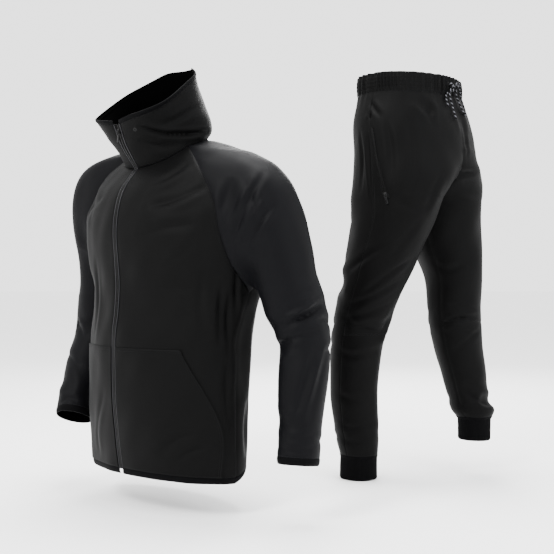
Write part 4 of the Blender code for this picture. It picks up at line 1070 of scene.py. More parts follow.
# Folds on the sides that the camera doesn't see, through points in the garment's frame.
hiddenFolds = {
    "jacket": [
        (("back",), [
            (12, 4.0, [(0.02, 0.19, -0.20), (0.08, 0.18, -0.26), (0.17, 0.14, -0.29)]),
            (12, 3.5, [(-0.03, 0.18, -0.18), (-0.10, 0.17, -0.23), (-0.17, 0.15, -0.28)]),
            (10, 3.0, [(0.15, 0.15, -0.40), (0.08, 0.17, -0.43), (-0.04, 0.17, -0.42)]),
            (10, 3.0, [(-0.16, 0.13, -0.46), (-0.06, 0.16, -0.49), (0.05, 0.16, -0.47)]),
            (9, 2.5, [(0.17, 0.10, -0.53), (0.10, 0.13, -0.56), (0.00, 0.14, -0.57)]),
            (9, 2.5, [(0.12, 0.10, -0.60), (0.11, 0.11, -0.63), (0.12, 0.10, -0.66)]),
            (11, 2.5, [(0.06, 0.15, -0.06), (0.07, 0.16, -0.12), (0.12, 0.15, -0.17)]),
        ]),
        (("sleeve_left",), [
            (8, 4.0, [(0.36, 0.06, -0.36), (0.37, 0.12, -0.35), (0.34, 0.16, -0.37)]),
            (8, 3.5, [(0.37, 0.10, -0.42), (0.35, 0.15, -0.41), (0.31, 0.15, -0.43)]),
            (10, 3.0, [(0.28, 0.18, -0.16), (0.32, 0.17, -0.22), (0.35, 0.14, -0.28)]),
            (7, 2.5, [(0.38, 0.07, -0.58), (0.36, 0.11, -0.59), (0.33, 0.11, -0.58)]),
        ]),
        (("sleeve_right",), [
            (9, 4.0, [(-0.33, 0.05, -0.37), (-0.32, 0.09, -0.36), (-0.28, 0.12, -0.38)]),
            (9, 3.5, [(-0.34, 0.02, -0.43), (-0.32, 0.06, -0.44), (-0.28, 0.07, -0.43)]),
            (10, 3.0, [(-0.24, 0.16, -0.14), (-0.29, 0.14, -0.20), (-0.32, 0.11, -0.26)]),
            (7, 2.5, [(-0.30, -0.05, -0.55), (-0.29, 0.00, -0.55), (-0.25, 0.01, -0.54)]),
        ]),
        (("hood_left", "hood_right"), [
            (9, 4.0, [(0.06, 0.10, 0.06), (0.00, 0.11, 0.07), (-0.06, 0.10, 0.06)]),
        ]),
        (("hood_right",), [
            (9, 3.0, [(-0.09, 0.02, 0.04), (-0.09, 0.05, 0.08), (-0.06, 0.08, 0.12)]),
        ]),
    ],
    "trousers": [
        (("trouser_back_left", "trouser_back_right"), [
            (12, 4.0, [(0.09, 0.10, -0.26), (0.00, 0.11, -0.22), (-0.09, 0.10, -0.26)]),
        ]),
        (("trouser_back_left",), [
            (10, 4.0, [(0.03, 0.09, -0.32), (0.09, 0.10, -0.34), (0.15, 0.06, -0.33)]),
        ]),
        (("trouser_back_right",), [
            (10, 3.5, [(-0.03, 0.09, -0.33), (-0.09, 0.10, -0.36), (-0.15, 0.06, -0.34)]),
        ]),
        (("trouser_back_left",), [
            (9, 4.5, [(0.06, 0.02, -0.56), (0.12, 0.03, -0.58), (0.18, 0.00, -0.56)]),
            (8, 3.5, [(0.07, 0.01, -0.60), (0.13, 0.02, -0.61), (0.18, -0.01, -0.60)]),
        ]),
        (("trouser_back_right",), [
            (9, 4.5, [(-0.06, 0.11, -0.58), (-0.12, 0.14, -0.60), (-0.18, 0.11, -0.58)]),
            (8, 3.5, [(-0.07, 0.12, -0.63), (-0.12, 0.14, -0.64), (-0.17, 0.11, -0.63)]),
        ]),
        (("trouser_back_left",), [
            (10, 3.0, [(0.17, 0.02, -0.40), (0.14, 0.05, -0.45), (0.09, 0.04, -0.48)]),
        ]),
        (("trouser_back_right",), [
            (10, 3.0, [(-0.17, 0.06, -0.42), (-0.14, 0.10, -0.46), (-0.09, 0.10, -0.50)]),
        ]),
        (("trouser_back_left",), [
            (7, 3.5, [(0.09, -0.05, -0.77), (0.13, -0.03, -0.78), (0.17, -0.06, -0.77)]),
        ]),
        (("trouser_back_right",), [
            (7, 3.5, [(-0.09, 0.12, -0.85), (-0.12, 0.13, -0.86), (-0.16, 0.11, -0.85)]),
        ]),
        (("trouser_back_left",), [
            (9, 3.0, [(0.16, 0.05, -0.08), (0.17, 0.06, -0.14), (0.17, 0.06, -0.19)]),
        ]),
        (("trouser_back_right",), [
            (9, 3.0, [(-0.06, 0.11, -0.06), (-0.06, 0.12, -0.12), (-0.05, 0.11, -0.17)]),
        ]),
        (("trouser_back_left",), [
            (9, 3.0, [(0.06, 0.11, -0.06), (0.06, 0.12, -0.11), (0.07, 0.12, -0.16)]),
        ]),
    ],
}
waves = {"seed": 7, "count": 14, "longestMm": 150, "shortestMm": 45, "heightMm": 0.42}
gathers = {
    "pitchMm": 8.5,
    "depthMm": 1.5,
    "fadeMm": 55,
    "panelDepthMm": 1.1,
    "waistRadius": 0.138,
}


def dressFolds():
    points, facing = allOf("grid"), allOf("facing")
    shift = np.zeros(len(points))
    phase = 0.0
    lines = []
    for names, folds in seenFolds:
        for halfWidth, depth, spots in folds:
            line = np.array([seenAt(p, names) for p in smoothLine(spots)])
            lines.append((names, halfWidth, depth, line))
    for garment, groups in hiddenFolds.items():
        for names, folds in groups:
            for halfWidth, depth, spots in folds:
                spots = inScene(garment, smoothLine(spots))
                line = np.array([nearestOn(p, names) for p in spots])
                lines.append((names, halfWidth, depth, line))
    for names, width, depth, line in lines:
        group = names[0].split("_")[0]
        mine = madeOf(lambda name, s: name in names or name.startswith(group))
        phase += 1.7
        shift += mine * foldShift(points, facing, line, width / 1000, depth / 1000, phase)
    # Slow unevenness all over, so that no panel is a perfect surface.
    draw = np.random.default_rng(waves["seed"])
    for _ in range(waves["count"]):
        way = unit(draw.normal(size=3) * (1, 1, 0.6))
        length = draw.uniform(waves["shortestMm"], waves["longestMm"]) / 1000
        height = waves["heightMm"] / 1000 * draw.uniform(0.4, 1.0)
        shift += height * np.sin(points @ way * 2 * np.pi / length + draw.uniform(0, 6.28))
    shift += gatherShift(points, False)
    shiftAll(shift)


def gatherShift(points, fine):
    # The waist's elastic draws the cloth into small uneven pleats that die out below it.
    place, turn = garments["trousers"]["place"], garments["trousers"]["turn"]
    flat = points[:, :2] - np.array(place[:2])
    x = flat[:, 0] * math.cos(turn) + flat[:, 1] * math.sin(turn)
    y = -flat[:, 0] * math.sin(turn) + flat[:, 1] * math.cos(turn)
    z = points[:, 2] - place[2]
    around = np.arctan2(y, x) * gathers["waistRadius"]
    band = trousers["hip"]["rows"][0][0]
    below = np.clip((z - (band - gathers["fadeMm"] / 1000)) / (gathers["fadeMm"] / 1000), 0, 1)
    # Only points at the top of the trousers take part; the sines below only make pleats uneven.
    inside = (z < 0.01) & (np.abs(x) < 0.22) & (np.abs(y) < 0.16) & (points[:, 0] > 0.34)
    pitch = gathers["pitchMm"] / 1000
    drift = 1.9 * np.sin(around / 0.031 + 1.0) + 1.2 * np.sin(around / 0.013)
    wide = np.sin(around * 2 * np.pi / (pitch * 2.6) + drift)
    height = gathers["panelDepthMm"] / 1000 * below**2 * (0.6 + 0.4 * np.sin(around / 0.05))
    shift = np.where(inside, height * wide, 0)
    if fine:
        tall = np.clip((z - band) / trousers["waistbandHeight"], 0, 1)
        small = np.sin(around * 2 * np.pi / pitch + 1.3 * drift)
        uneven = 0.7 + 0.3 * np.sin(around / 0.021 + 2.0)
        shift += gathers["depthMm"] / 1000 * uneven * small * np.sin(np.pi * tall) ** 0.5
    return shift


dressFolds()
settle()
print("tracksuit: folds pressed in")

# Making the pieces

body = "tracksuit"


def addPiece(name, mesh):
    # A finished mesh becomes a piece that moves with the suit.
    piece = bpy.data.objects.new(name, mesh)
    bpy.context.scene.collection.objects.link(piece)
    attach(piece, body)
    return piece


def lengthsAlong(grid, axis):
    steps = np.linalg.norm(np.diff(grid, axis=axis), axis=-1).mean(axis=1 - axis)
    return np.concatenate([[0.0], np.cumsum(steps)])


def runOf(line):
    return np.concatenate([[0.0], np.cumsum(np.linalg.norm(np.diff(line, axis=0), axis=1))])


def valuesAt(at, run, values):
    return np.stack([np.interp(at, run, values[:, k]) for k in range(3)], 1)


def cellCorners(across, up, i, j):
    # Where the four corners of each cell lie on the cloth, in metres.
    corners = ((0, 0), (1, 0), (1, 1), (0, 1))
    return np.stack([np.stack([across[j + a], up[i + b]], -1) for a, b in corners], 1)


def clothWall(name, outer, inner, closed, outside, inside):
    # A sheet of cloth with a right side, a wrong side and a turned edge all round.
    rows, columns = outer.shape[:2]
    lift = rows * columns
    spans = columns if closed else columns - 1
    cells, i, j = cellsOf(rows, columns, closed)
    loopGrid = np.concatenate([outer, outer[:, :1]], axis=1) if closed else outer
    u, v = lengthsAlong(loopGrid, 1), lengthsAlong(loopGrid, 0)
    uv = cellCorners(u, v, i, j)
    faces, uvs, kinds = [cells, cells[:, ::-1] + lift], [uv, uv[:, ::-1]], [0, 1]
    strips = []
    for row, flip in ((0, False), (rows - 1, True)):
        a = row * columns + np.arange(spans)
        b = row * columns + (np.arange(spans) + 1) % columns
        strips.append((a, b, flip, u[:-1]))
    if not closed:
        for column, flip in ((0, True), (columns - 1, False)):
            a = np.arange(rows - 1) * columns + column
            strips.append((a, a + columns, flip, v[:-1]))
    for a, b, flip, run in strips:
        strip = np.stack([b, a, a + lift, b + lift], -1)
        faces.append(strip[:, ::-1] if flip else strip)
        uvs.append(np.stack([np.stack([run, run * 0], -1)] * 4, 1))
        kinds.append(0)
    mesh = bpy.data.meshes.new(name)
    points = np.concatenate([outer.reshape(-1, 3), inner.reshape(-1, 3)])
    mesh.from_pydata(points.tolist(), [], np.concatenate(faces).tolist())
    layer = mesh.uv_layers.new(name="cloth")
    layer.data.foreach_set("uv", np.concatenate(uvs).astype(np.float32).ravel())
    index = np.concatenate([np.full(len(f), k, np.int32) for f, k in zip(faces, kinds)])
    mesh.materials.append(outside)
    mesh.materials.append(inside)
    mesh.polygons.foreach_set("material_index", index)
    # How far each point is from the sheet's nearest sewn edge.
    near = np.minimum(v, v[-1] - v)[:, None] * np.ones(columns)
    if not closed:
        near = np.minimum(near, np.minimum(u, u[-1] - u)[None, :])
    attribute = mesh.attributes.new("edge", "FLOAT", "POINT")
    attribute.data.foreach_set("value", np.tile(near.ravel(), 2).astype(np.float32))
    mesh.shade_smooth()
    mesh.set_sharp_from_angle(angle=math.radians(55))
    return addPiece(name, mesh)


def curledEdges(grid, facing, closed, depth):
    # Sewn edges dip a little into the seam.
    grid = grid.copy()
    for rows in ((0, 1.0), (1, 0.35), (-1, 1.0), (-2, 0.35)):
        grid[rows[0]] -= facing[rows[0]] * depth * rows[1]
    if not closed:
        for column, share in ((0, 1.0), (1, 0.35), (-1, 1.0), (-2, 0.35)):
            grid[:, column] -= facing[:, column] * depth * share
    return grid


jersey, sleeveJersey = materials["knitted polyester"], materials["knitted polyester, sleeves"]
wrongSide, rib = materials["polyester wrong side"], materials["ribbed polyester knit"]
tape, thread = materials["woven polyester tape"], materials["polyester thread"]
wall = {"jersey": 0.0014, "rib": 0.0022, "seamDip": 0.0010, "lap": 0.0014}


def sewPanel(name, material):
    s = sheets[name]
    s["drawn"] = curledEdges(s["grid"], s["facing"], s["closed"], wall["seamDip"])
    inner = s["drawn"] - s["facing"] * wall["jersey"]
    piece = clothWall(f"dressed_{name}", s["drawn"], inner, s["closed"], material, wrongSide)
    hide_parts(name)
    s["held"], s["restsOn"], s["piece"] = "hung", [], piece


for name in list(sheets):
    if name.startswith("sleeve"):
        sewPanel(name, sleeveJersey)
    elif name.startswith(("front", "back", "hood", "trouser")) and name != "hood_rim":
        sewPanel(name, jersey)


def lapped(grid):
    # Both edges of a trim run on a little, over the seam that they are sewn into.
    first, last = unit(grid[0] - grid[1]), unit(grid[-1] - grid[-2])
    grid[0] += first * wall["lap"]
    grid[-1] += last * wall["lap"]
    return grid


def trimGrid(name, rowCount, columnTimes, bulge, flat=0.0):
    # A narrow trim, refined and rounded outwards between its two edges.
    s = sheets[name]
    grid = resampled(s["grid"], rowCount, columnTimes, s["closed"])
    facing = unit(resampled(s["facing"], rowCount, columnTimes, s["closed"]))
    swell = np.sin(np.pi * np.linspace(0, 1, rowCount)) ** 0.6 * bulge + flat
    return lapped(grid + facing * swell[:, None, None]), facing


def sewTrim(name, rowCount, columnTimes, bulge, thickness, material, flat=0.0):
    grid, facing = trimGrid(name, rowCount, columnTimes, bulge, flat)
    s = sheets[name]
    s["drawn"], s["fineFacing"] = grid, facing
    inner = grid - facing * thickness
    piece = clothWall(f"dressed_{name}", grid, inner, s["closed"], material, wrongSide)
    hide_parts(name)
    s["piece"] = piece


def ribRelief(grid, facing, pitchMm, depthMm):
    # Ribs that run up the cuff, a whole number of them round it.
    run = lengthsAlong(np.concatenate([grid, grid[:, :1]], axis=1), 1)
    turns = round(run[-1] * 1000 / pitchMm)
    wave = np.abs(np.sin(np.pi * turns * run[:-1] / run[-1]))
    return grid + facing * (depthMm / 1000 * (wave - 0.6))[None, :, None]


bindings = {"rows": 6, "bulge": 0.0009, "thickness": 0.0018}
for name in ("hood_rim", "hem_binding", "cuff_binding_left", "cuff_binding_right"):
    sewTrim(name, bindings["rows"], 1, bindings["bulge"], bindings["thickness"], rib)

cuffs = {
    "ribPitchMm": 3.0,
    "ribDepthMm": 0.7,
    "rows": (0.0, 0.06, 0.2, 0.5, 0.8, 1.0, 1.3, 1.6, 1.85, 2.0, 2.15, 2.35, 2.6, 2.85, 3.0),
    "columnTimes": 4,
    "edgeDip": 0.0012,
}
waistband = {"rows": 15, "columnTimes": 3, "elasticRows": (3, 6, 9, 12), "elasticDip": 0.0008}


def knittedCuff(side):
    s = sheets[f"cuff_{side}"]
    rows, times = np.array(cuffs["rows"]), cuffs["columnTimes"]
    grid = np.concatenate([s["grid"], s["grid"][:, :1]], axis=1)
    facing = np.concatenate([s["facing"], s["facing"][:, :1]], axis=1)
    columns = np.arange(s["grid"].shape[1] * times) / times
    grid = between(grid, rows[:, None], columns[None, :])
    facing = unit(between(facing, rows[:, None], columns[None, :]))
    grid = ribRelief(grid, facing, cuffs["ribPitchMm"], cuffs["ribDepthMm"])
    # The cuff's lower edge is a soft fold, and its top dips into the seam.
    grid[0] -= facing[0] * cuffs["edgeDip"]
    grid[-1] -= facing[-1] * cuffs["edgeDip"]
    piece = finishBand(f"cuff_{side}", lapped(grid), facing, rib, rib, "stretched")
    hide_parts(f"cuff_{side}")


def finishBand(name, grid, facing, outside, inside, held):
    s = sheets[name]
    s["drawn"], s["fineFacing"] = grid, facing
    inner = grid - facing * wall["rib"]
    piece = clothWall(f"dressed_{name}", grid, inner, True, outside, inside)
    s["held"], s["restsOn"], s["piece"] = held, [], piece
    return piece


def gatheredWaistband():
    t = np.linspace(0, 2, waistband["rows"])[:, None, None] / 2
    low, middle, top = sheets["waistband"]["grid"]
    pulled = 2 * middle - (low + top) / 2
    ring = low * (1 - t) ** 2 + 2 * pulled * t * (1 - t) + top * t**2
    grid = resampled(ring, waistband["rows"], waistband["columnTimes"], True)
    facing = facingOf(grid, True)
    shift = gatherShift(grid.reshape(-1, 3), True).reshape(grid.shape[:2])
    grid = grid + facing * (shift - 0.0006)[..., None]
    # Four rows of elastic draw the band in along narrow lines.
    for row in waistband["elasticRows"]:
        grid[row] -= facing[row] * waistband["elasticDip"]
    piece = finishBand("waistband", lapped(grid), facing, jersey, wrongSide, "gathered")
    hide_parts("waistband")


for side in ("left", "right"):
    knittedCuff(side)
gatheredWaistband()
print("tracksuit: panels, cuffs and waistband sewn")

# Patch pockets

pockets = {
    "margin": 0.0020,
    "lift": 0.0030,
    "gap": 0.0005,
    "thickness": 0.0014,
    "edgeDip": 0.0007,
}


def offEdge(edge, inner):
    # The way from an edge into the patch, square to that edge.
    run = unit(np.gradient(edge, axis=0))
    step = inner - edge
    return unit(step - run * (step * run).sum(axis=-1, keepdims=True))


def patchPocket(side):
    s = sheets[f"front_{side}"]
    top = int(np.argmin(np.abs(bodyRows - jacketBody["pocketTopRow"]))) + 1
    count = jacketBody["pocketColumns"] * jacketBody["fineAcross"] + 1
    columns = slice(0, count) if side == "left" else slice(s["grid"].shape[1] - count, None)
    patch, facing = s["grid"][:top, columns].copy(), s["facing"][:top, columns]
    patch[0] += offEdge(patch[0], patch[1]) * pockets["margin"]
    patch[-1] += offEdge(patch[-1], patch[-2]) * pockets["margin"]
    patch[:, 0] += offEdge(patch[:, 0], patch[:, 1]) * pockets["margin"]
    patch[:, -1] += offEdge(patch[:, -1], patch[:, -2]) * pockets["margin"]
    share = np.linspace(0, 1, count) ** 3
    lift = pockets["lift"] * (share if side == "left" else share[::-1])[None, :]
    # The mouth of the pocket stands off most where the hand goes in.
    opening = np.sin(np.pi * np.clip(np.linspace(-0.1, 1.1, top), 0, 1))[:, None]
    lift = lift * (0.55 + 0.75 * opening)
    low = patch + facing * (pockets["gap"] + lift)[..., None]
    high = low + facing * pockets["thickness"]
    high[-1] -= facing[-1] * pockets["edgeDip"]
    high[0] -= facing[0] * pockets["edgeDip"]
    piece = clothWall(f"dressed_pocket_{side}", high, low, False, jersey, wrongSide)
    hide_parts(f"pocket_{side}")
    sheets[f"pocket_{side}"] = {
        "garment": "jacket", "grid": high, "facing": facing, "closed": False, "drawn": high,
        "held": "laid", "restsOn": [f"dressed_front_{side}"], "piece": piece,
    }


for side in ("left", "right"):
    patchPocket(side)

# Stitching

stitch = {"lengthMm": 2.6, "gapMm": 1.0, "widthMm": 0.55, "heightMm": 0.45}


def stitchRows(name, lines):
    # Each stitch is a small grain with six points, lying along its line on the cloth.
    points, faces, base = [], [], 0
    length, half = stitch["lengthMm"] / 1000, stitch["widthMm"] / 2000
    step, rise = length + stitch["gapMm"] / 1000, stitch["heightMm"] / 1000
    shape = np.array([[0, 1, 2], [0, 2, 3], [0, 3, 4], [0, 4, 1],
                      [5, 2, 1], [5, 3, 2], [5, 4, 3], [5, 1, 4]])
    for line, facing in lines:
        run = runOf(line)
        at = np.arange(step / 2, run[-1], step)
        middle = valuesAt(at, run, line)
        ahead = valuesAt(at + length / 2, run, line)
        behind = valuesAt(at - length / 2, run, line)
        out = unit(valuesAt(at, run, facing))
        side = np.cross(out, unit(ahead - behind))
        grains = np.stack([
            behind - out * 0.0001, middle + side * half, middle + out * rise,
            middle - side * half, middle - out * 0.0003, ahead - out * 0.0001,
        ], 1)
        points.append(grains.reshape(-1, 3))
        faces.append((shape[None] + (np.arange(len(at)) * 6)[:, None, None] + base).reshape(-1, 3))
        base += len(points[-1])
    mesh = bpy.data.meshes.new(name)
    mesh.from_pydata(np.concatenate(points).tolist(), [], np.concatenate(faces).tolist())
    mesh.materials.append(thread)
    mesh.shade_smooth()
    addPiece(name, mesh)


def beside(name, edge, distanceMm, first=0, last=None, lift=0.0001):
    # A line on a sheet at a distance from one of its edges: its points and how they face.
    s = sheets[name]
    grid, facing = s["drawn"], s.get("fineFacing", s["facing"])
    if edge in ("start", "end"):
        grid, facing = grid.transpose(1, 0, 2), facing.transpose(1, 0, 2)
    if edge in ("end", "top"):
        grid, facing = grid[::-1], facing[::-1]
    grid, facing = grid[:, first:last], facing[:, first:last]
    spans = np.linalg.norm(np.diff(grid, axis=0), axis=-1)
    run = np.concatenate([np.zeros((1, grid.shape[1])), np.cumsum(spans, axis=0)])
    line, out = [], []
    for j in range(grid.shape[1]):
        row = np.interp(distanceMm / 1000, run[:, j], np.arange(len(grid)))
        i = min(int(row), len(grid) - 2)
        line.append(grid[i, j] + (grid[i + 1, j] - grid[i, j]) * (row - i))
        out.append(facing[i, j])
    line, out = np.array(line), np.array(out)
    if s["closed"] and edge in ("bottom", "top"):
        line, out = np.concatenate([line, line[:1]]), np.concatenate([out, out[:1]])
    return line + out * lift, out


underarm = int(np.argmin(np.abs(bodyRows - jacketBody["underarmRow"])))
for side in ("left", "right"):
    near, far = ("end", "start") if side == "left" else ("start", "end")
    rows = [
        beside(f"front_{side}", near, 2.5, underarm),
        beside(f"front_{side}", near, 5.5, underarm),
        beside("back", far, 2.5, underarm),
        beside("back", far, 5.5, underarm),
        beside(f"sleeve_{side}", "top", 3.0),
        beside(f"front_{side}", near, 2.0, 0, underarm),
        beside(f"front_{side}", near, 5.0, 0, underarm),
        beside(f"front_{side}", "top", 2.5),
        beside(f"hood_{side}", "bottom", 2.5),
        beside(f"hood_{side}", "bottom", 5.5),
        beside(f"front_{side}", "bottom", 2.5),
        beside(f"sleeve_{side}", "bottom", 2.5),
        beside(f"hood_{side}", "top", 2.5),
        beside(f"front_{side}", far, 2.0),
    ]
    stitchRows(f"stitching_jacket_{side}", rows)
    rows = [
        beside(f"pocket_{side}", "top", 2.5),
        beside(f"pocket_{side}", "top", 6.5),
        beside(f"pocket_{side}", near, 3.0),
        beside(f"pocket_{side}", near, 7.0),
        beside(f"pocket_{side}", "bottom", 2.5),
    ]
    stitchRows(f"stitching_pocket_{side}", rows)
    rows = [
        beside(f"trouser_front_{side}", "bottom", 2.5),
        beside(f"trouser_front_{side}", "bottom", 5.5),
        beside(f"trouser_shin_{side}", "bottom", 2.5),
        beside(f"trouser_back_{side}", "bottom", 2.5),
        beside(f"trouser_front_{side}", "top", 2.5),
        beside(f"trouser_back_{side}", "top", 2.5),
        beside(f"trouser_back_{side}", "start" if side == "left" else "end", 2.5),
    ]
    stitchRows(f"stitching_trousers_{side}", rows)
stitchRows("stitching_back", [beside("back", "bottom", 2.5), beside("back", "top", 2.5)])
rows = []
band = sheets["waistband"]
for row in waistband["elasticRows"]:
    line = np.concatenate([band["drawn"][row], band["drawn"][row][:1]])
    out = np.concatenate([band["fineFacing"][row], band["fineFacing"][row][:1]])
    rows.append((line + out * 0.0001, out))
stitchRows("stitching_waistband", rows)
print("tracksuit: pockets and stitching made")

# Zips

zips = {
    "toothPitchMm": 2.2,
    "toothLengthMm": 2.6,
    "toothWidthMm": 1.25,
    "toothHeightMm": 1.1,
    "teethDrop": 0.0002,
    "tapeThickness": 0.0010,
    "tapeDrop": 0.0006,
    "edgingWidth": 0.0018,
    "edgingHeight": 0.0009,
    "edgingInset": 0.0010,
    "edgingThickness": 0.0006,
}


def zipTeeth(name, line, out, across, lift):
    # Teeth stand alternately on either side of the zip's middle line and reach across it.
    pitch, run = zips["toothPitchMm"] / 1000, runOf(line)
    at = np.arange(pitch, run[-1] - pitch / 2, pitch / 2)
    middle = valuesAt(at, run, line)
    up, side = unit(valuesAt(at, run, out)), unit(valuesAt(at, run, across))
    way = np.cross(side, up)
    half, wide = zips["toothLengthMm"] / 1000, zips["toothWidthMm"] / 2000
    high = zips["toothHeightMm"] / 1000
    turn = np.where(np.arange(len(at)) % 2, 1.0, -1.0)[:, None]
    reach = side * turn
    ring = [(-0.35, -0.8, 0.0), (-0.35, 0.8, 0.0), (-0.25, 0.7, 0.9), (-0.25, -0.7, 0.9),
            (0.5, -1.0, 0.0), (0.5, 1.0, 0.0), (0.5, 0.75, 1.0), (0.5, -0.75, 1.0),
            (1.0, -0.6, 0.0), (1.0, 0.6, 0.0), (0.95, 0.4, 0.7), (0.95, -0.4, 0.7)]
    corner = np.stack([
        middle + reach * half * a + way * wide * b + up * (high * c + lift) for a, b, c in ring
    ], 1)
    shape = [(0, 3, 2, 1), (0, 1, 5, 4), (1, 2, 6, 5), (2, 3, 7, 6), (3, 0, 4, 7),
             (4, 5, 9, 8), (5, 6, 10, 9), (6, 7, 11, 10), (7, 4, 8, 11), (8, 9, 10, 11)]
    shape = np.array(shape)[None] + (np.arange(len(at)) * 12)[:, None, None]
    shape = np.where((turn > 0)[:, :, None], shape[:, :, ::-1], shape)
    mesh = bpy.data.meshes.new(name)
    mesh.from_pydata(corner.reshape(-1, 3).tolist(), [], shape.reshape(-1, 4).tolist())
    mesh.materials.append(materials["nylon zip coil"])
    mesh.shade_smooth()
    mesh.set_sharp_from_angle(angle=math.radians(40))
    addPiece(name, mesh)


def ribbonAlong(name, line, out, across, width, height, material):
    # A narrow rounded strip laid along a line.
    rows = []
    for share in np.linspace(-1, 1, 5):
        rows.append(line + across * share * width / 2 + out * height * (1 - share**2) ** 0.5)
    grid = np.stack(rows)
    if np.cross(grid[0, 1] - grid[0, 0], grid[1, 0] - grid[0, 0]) @ out[0] < 0:
        grid, out = grid[:, ::-1], out[::-1]
    clothWall(name, grid, grid - out[None] * zips["edgingThickness"], False, material, material)


for side in ("left", "right"):
    sewTrim(f"zip_tape_{side}", len(sheets[f"zip_tape_{side}"]["grid"]), 1, 0.0,
            zips["tapeThickness"], tape, flat=-zips["tapeDrop"])
leftTape, rightTape = sheets["zip_tape_left"], sheets["zip_tape_right"]
centreLine = leftTape["drawn"][:, 0]
centreOut = unit(leftTape["facing"][:, 0] + rightTape["facing"][:, -1])
acrossLine = unit(leftTape["drawn"][:, 1] - rightTape["drawn"][:, -2])
zipTeeth("zip_teeth_main", centreLine, centreOut, acrossLine, -zips["teethDrop"])
# Two raised strips beside the zip; their pale grey is a painted highlight.
for side, sign, column in (("left", 1, -1), ("right", -1, 0)):
    edgeLine = sheets[f"zip_tape_{side}"]["grid"][:, column]
    edgeLine = edgeLine - acrossLine * sign * zips["edgingInset"]
    ribbonAlong(f"zip_edging_{side}", edgeLine, centreOut, acrossLine, zips["edgingWidth"],
                zips["edgingHeight"], materials["satin edging, painted highlight"])
print("tracksuit: main zip made")

pocketZips = {
    # Rows and columns are counted as the frame counts those of its own panel.
    "rows": (2.8, 8.2),
    "columns": (7.45, 6.60),
    "frameHipRows": 8,
    "width": 0.30,
    "lift": 0.0004,
    "lipHeight": 0.0009,
    "coilHeight": 0.0006,
    "lipShape": (0.0, 1.0, 0.9, -0.1, 0.9, 1.0, 0.0),
}


def pocketZip(side):
    s = sheets[f"trouser_front_{side}"]
    first = s["grid"].shape[0] - 1
    top, end = pocketZips["rows"]
    rowTimes, columnTimes = trousers["hipRows"] / pocketZips["frameHipRows"], trousers["fine"]
    along = np.linspace(first - end * rowTimes, first - top * rowTimes, 60)
    centre = np.interp(along, (along[0], along[-1]), pocketZips["columns"][::-1]) * columnTimes
    across = np.linspace(-1, 1, 7) * pocketZips["width"] * columnTimes / 2
    columns = centre[:, None] + across[None, :]
    if side == "right":
        columns = (s["grid"].shape[1] - 1 - columns)[:, ::-1]
    grid = between(s["drawn"], along[:, None], columns)
    facing = unit(between(s["facing"], along[:, None], columns))
    # Two lips of cloth fold over the zip, and the coil lies low between them.
    lip = np.array(pocketZips["lipShape"]) * pocketZips["lipHeight"] + pocketZips["coilHeight"]
    outer = grid + facing * (pocketZips["lift"] + lip)[None, :, None]
    inner = grid + facing * 0.0001
    piece = clothWall(f"dressed_pocket_zip_{side}", outer, inner, False, jersey, wrongSide)
    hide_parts(f"pocket_zip_{side}")
    middle, out = outer[:, 3], facing[:, 3]
    across = unit(outer[:, 4] - outer[:, 2])
    zipTeeth(f"zip_teeth_pocket_{side}", middle, out, across * 0.6, 0.0)
    for edge, sign in ((0, -1), (6, 1)):
        line = grid[:, edge] + facing[:, edge] * pocketZips["lift"] + across * sign * 0.0015
        edgeName = "in" if sign < 0 else "out"
        stitchRows(f"stitching_pocket_zip_{side}_{edgeName}", [(line, facing[:, edge])])


for side in ("left", "right"):
    pocketZip(side)

# Sliders, tabs and eyelets keep the frame's shape, with rounded edges and a lacquered finish.
smallMetal = {"bevelMm": 0.55, "segments": 3}
for name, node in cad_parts.items():
    if name.endswith(("slider", "pull_tab")) or "eyelet" in name:
        node.data.materials.clear()
        node.data.materials.append(materials["lacquered zinc"])
        weld = node.modifiers.new("weld", "WELD")
        weld.merge_threshold = 0.00002
        if "eyelet" not in name:
            bevel = node.modifiers.new("soft edges", "BEVEL")
            bevel.width, bevel.segments = smallMetal["bevelMm"] / 1000, smallMetal["segments"]
            bevel.limit_method = "ANGLE"
            bevel.harden_normals = True
        node.data.shade_smooth()
print("tracksuit: pocket zips and hardware finished")

# Drawstring

drawstring = {
    "diameter": 0.0036,
    "sides": 12,
    "right": [
        (-0.0140, -0.0200, 0.0035), (-0.0125, -0.0205, 0.0085), (-0.0060, -0.0240, 0.0110),
        (-0.0030, -0.0320, 0.0100), (-0.0090, -0.0390, 0.0070), (-0.0180, -0.0420, 0.0048),
        (-0.0270, -0.0470, 0.0040), (-0.0320, -0.0570, 0.0040), (-0.0340, -0.0680, 0.0042),
        (-0.0335, -0.0790, 0.0042),
    ],
    "left": [
        (0.0140, -0.0200, 0.0035), (0.0130, -0.0210, 0.0090), (0.0075, -0.0245, 0.0150),
        (0.0020, -0.0300, 0.0160), (0.0060, -0.0370, 0.0100), (0.0160, -0.0480, 0.0055),
        (0.0240, -0.0660, 0.0045), (0.0330, -0.0850, 0.0045), (0.0440, -0.0880, 0.0045),
        (0.0500, -0.0750, 0.0045), (0.0460, -0.0560, 0.0055), (0.0340, -0.0400, 0.0085),
        (0.0200, -0.0300, 0.0120), (0.0060, -0.0200, 0.0190), (-0.0080, -0.0220, 0.0160),
        (-0.0170, -0.0330, 0.0110), (-0.0190, -0.0520, 0.0065), (-0.0180, -0.0720, 0.0048),
        (-0.0190, -0.0900, 0.0046), (-0.0185, -0.1080, 0.0046),
    ],
    "points": {"left": 40, "right": 14},
    "ringStep": 0.0009,
    "turn": 0.0034,
    "swell": 0.045,
    "tipLength": 0.004,
}


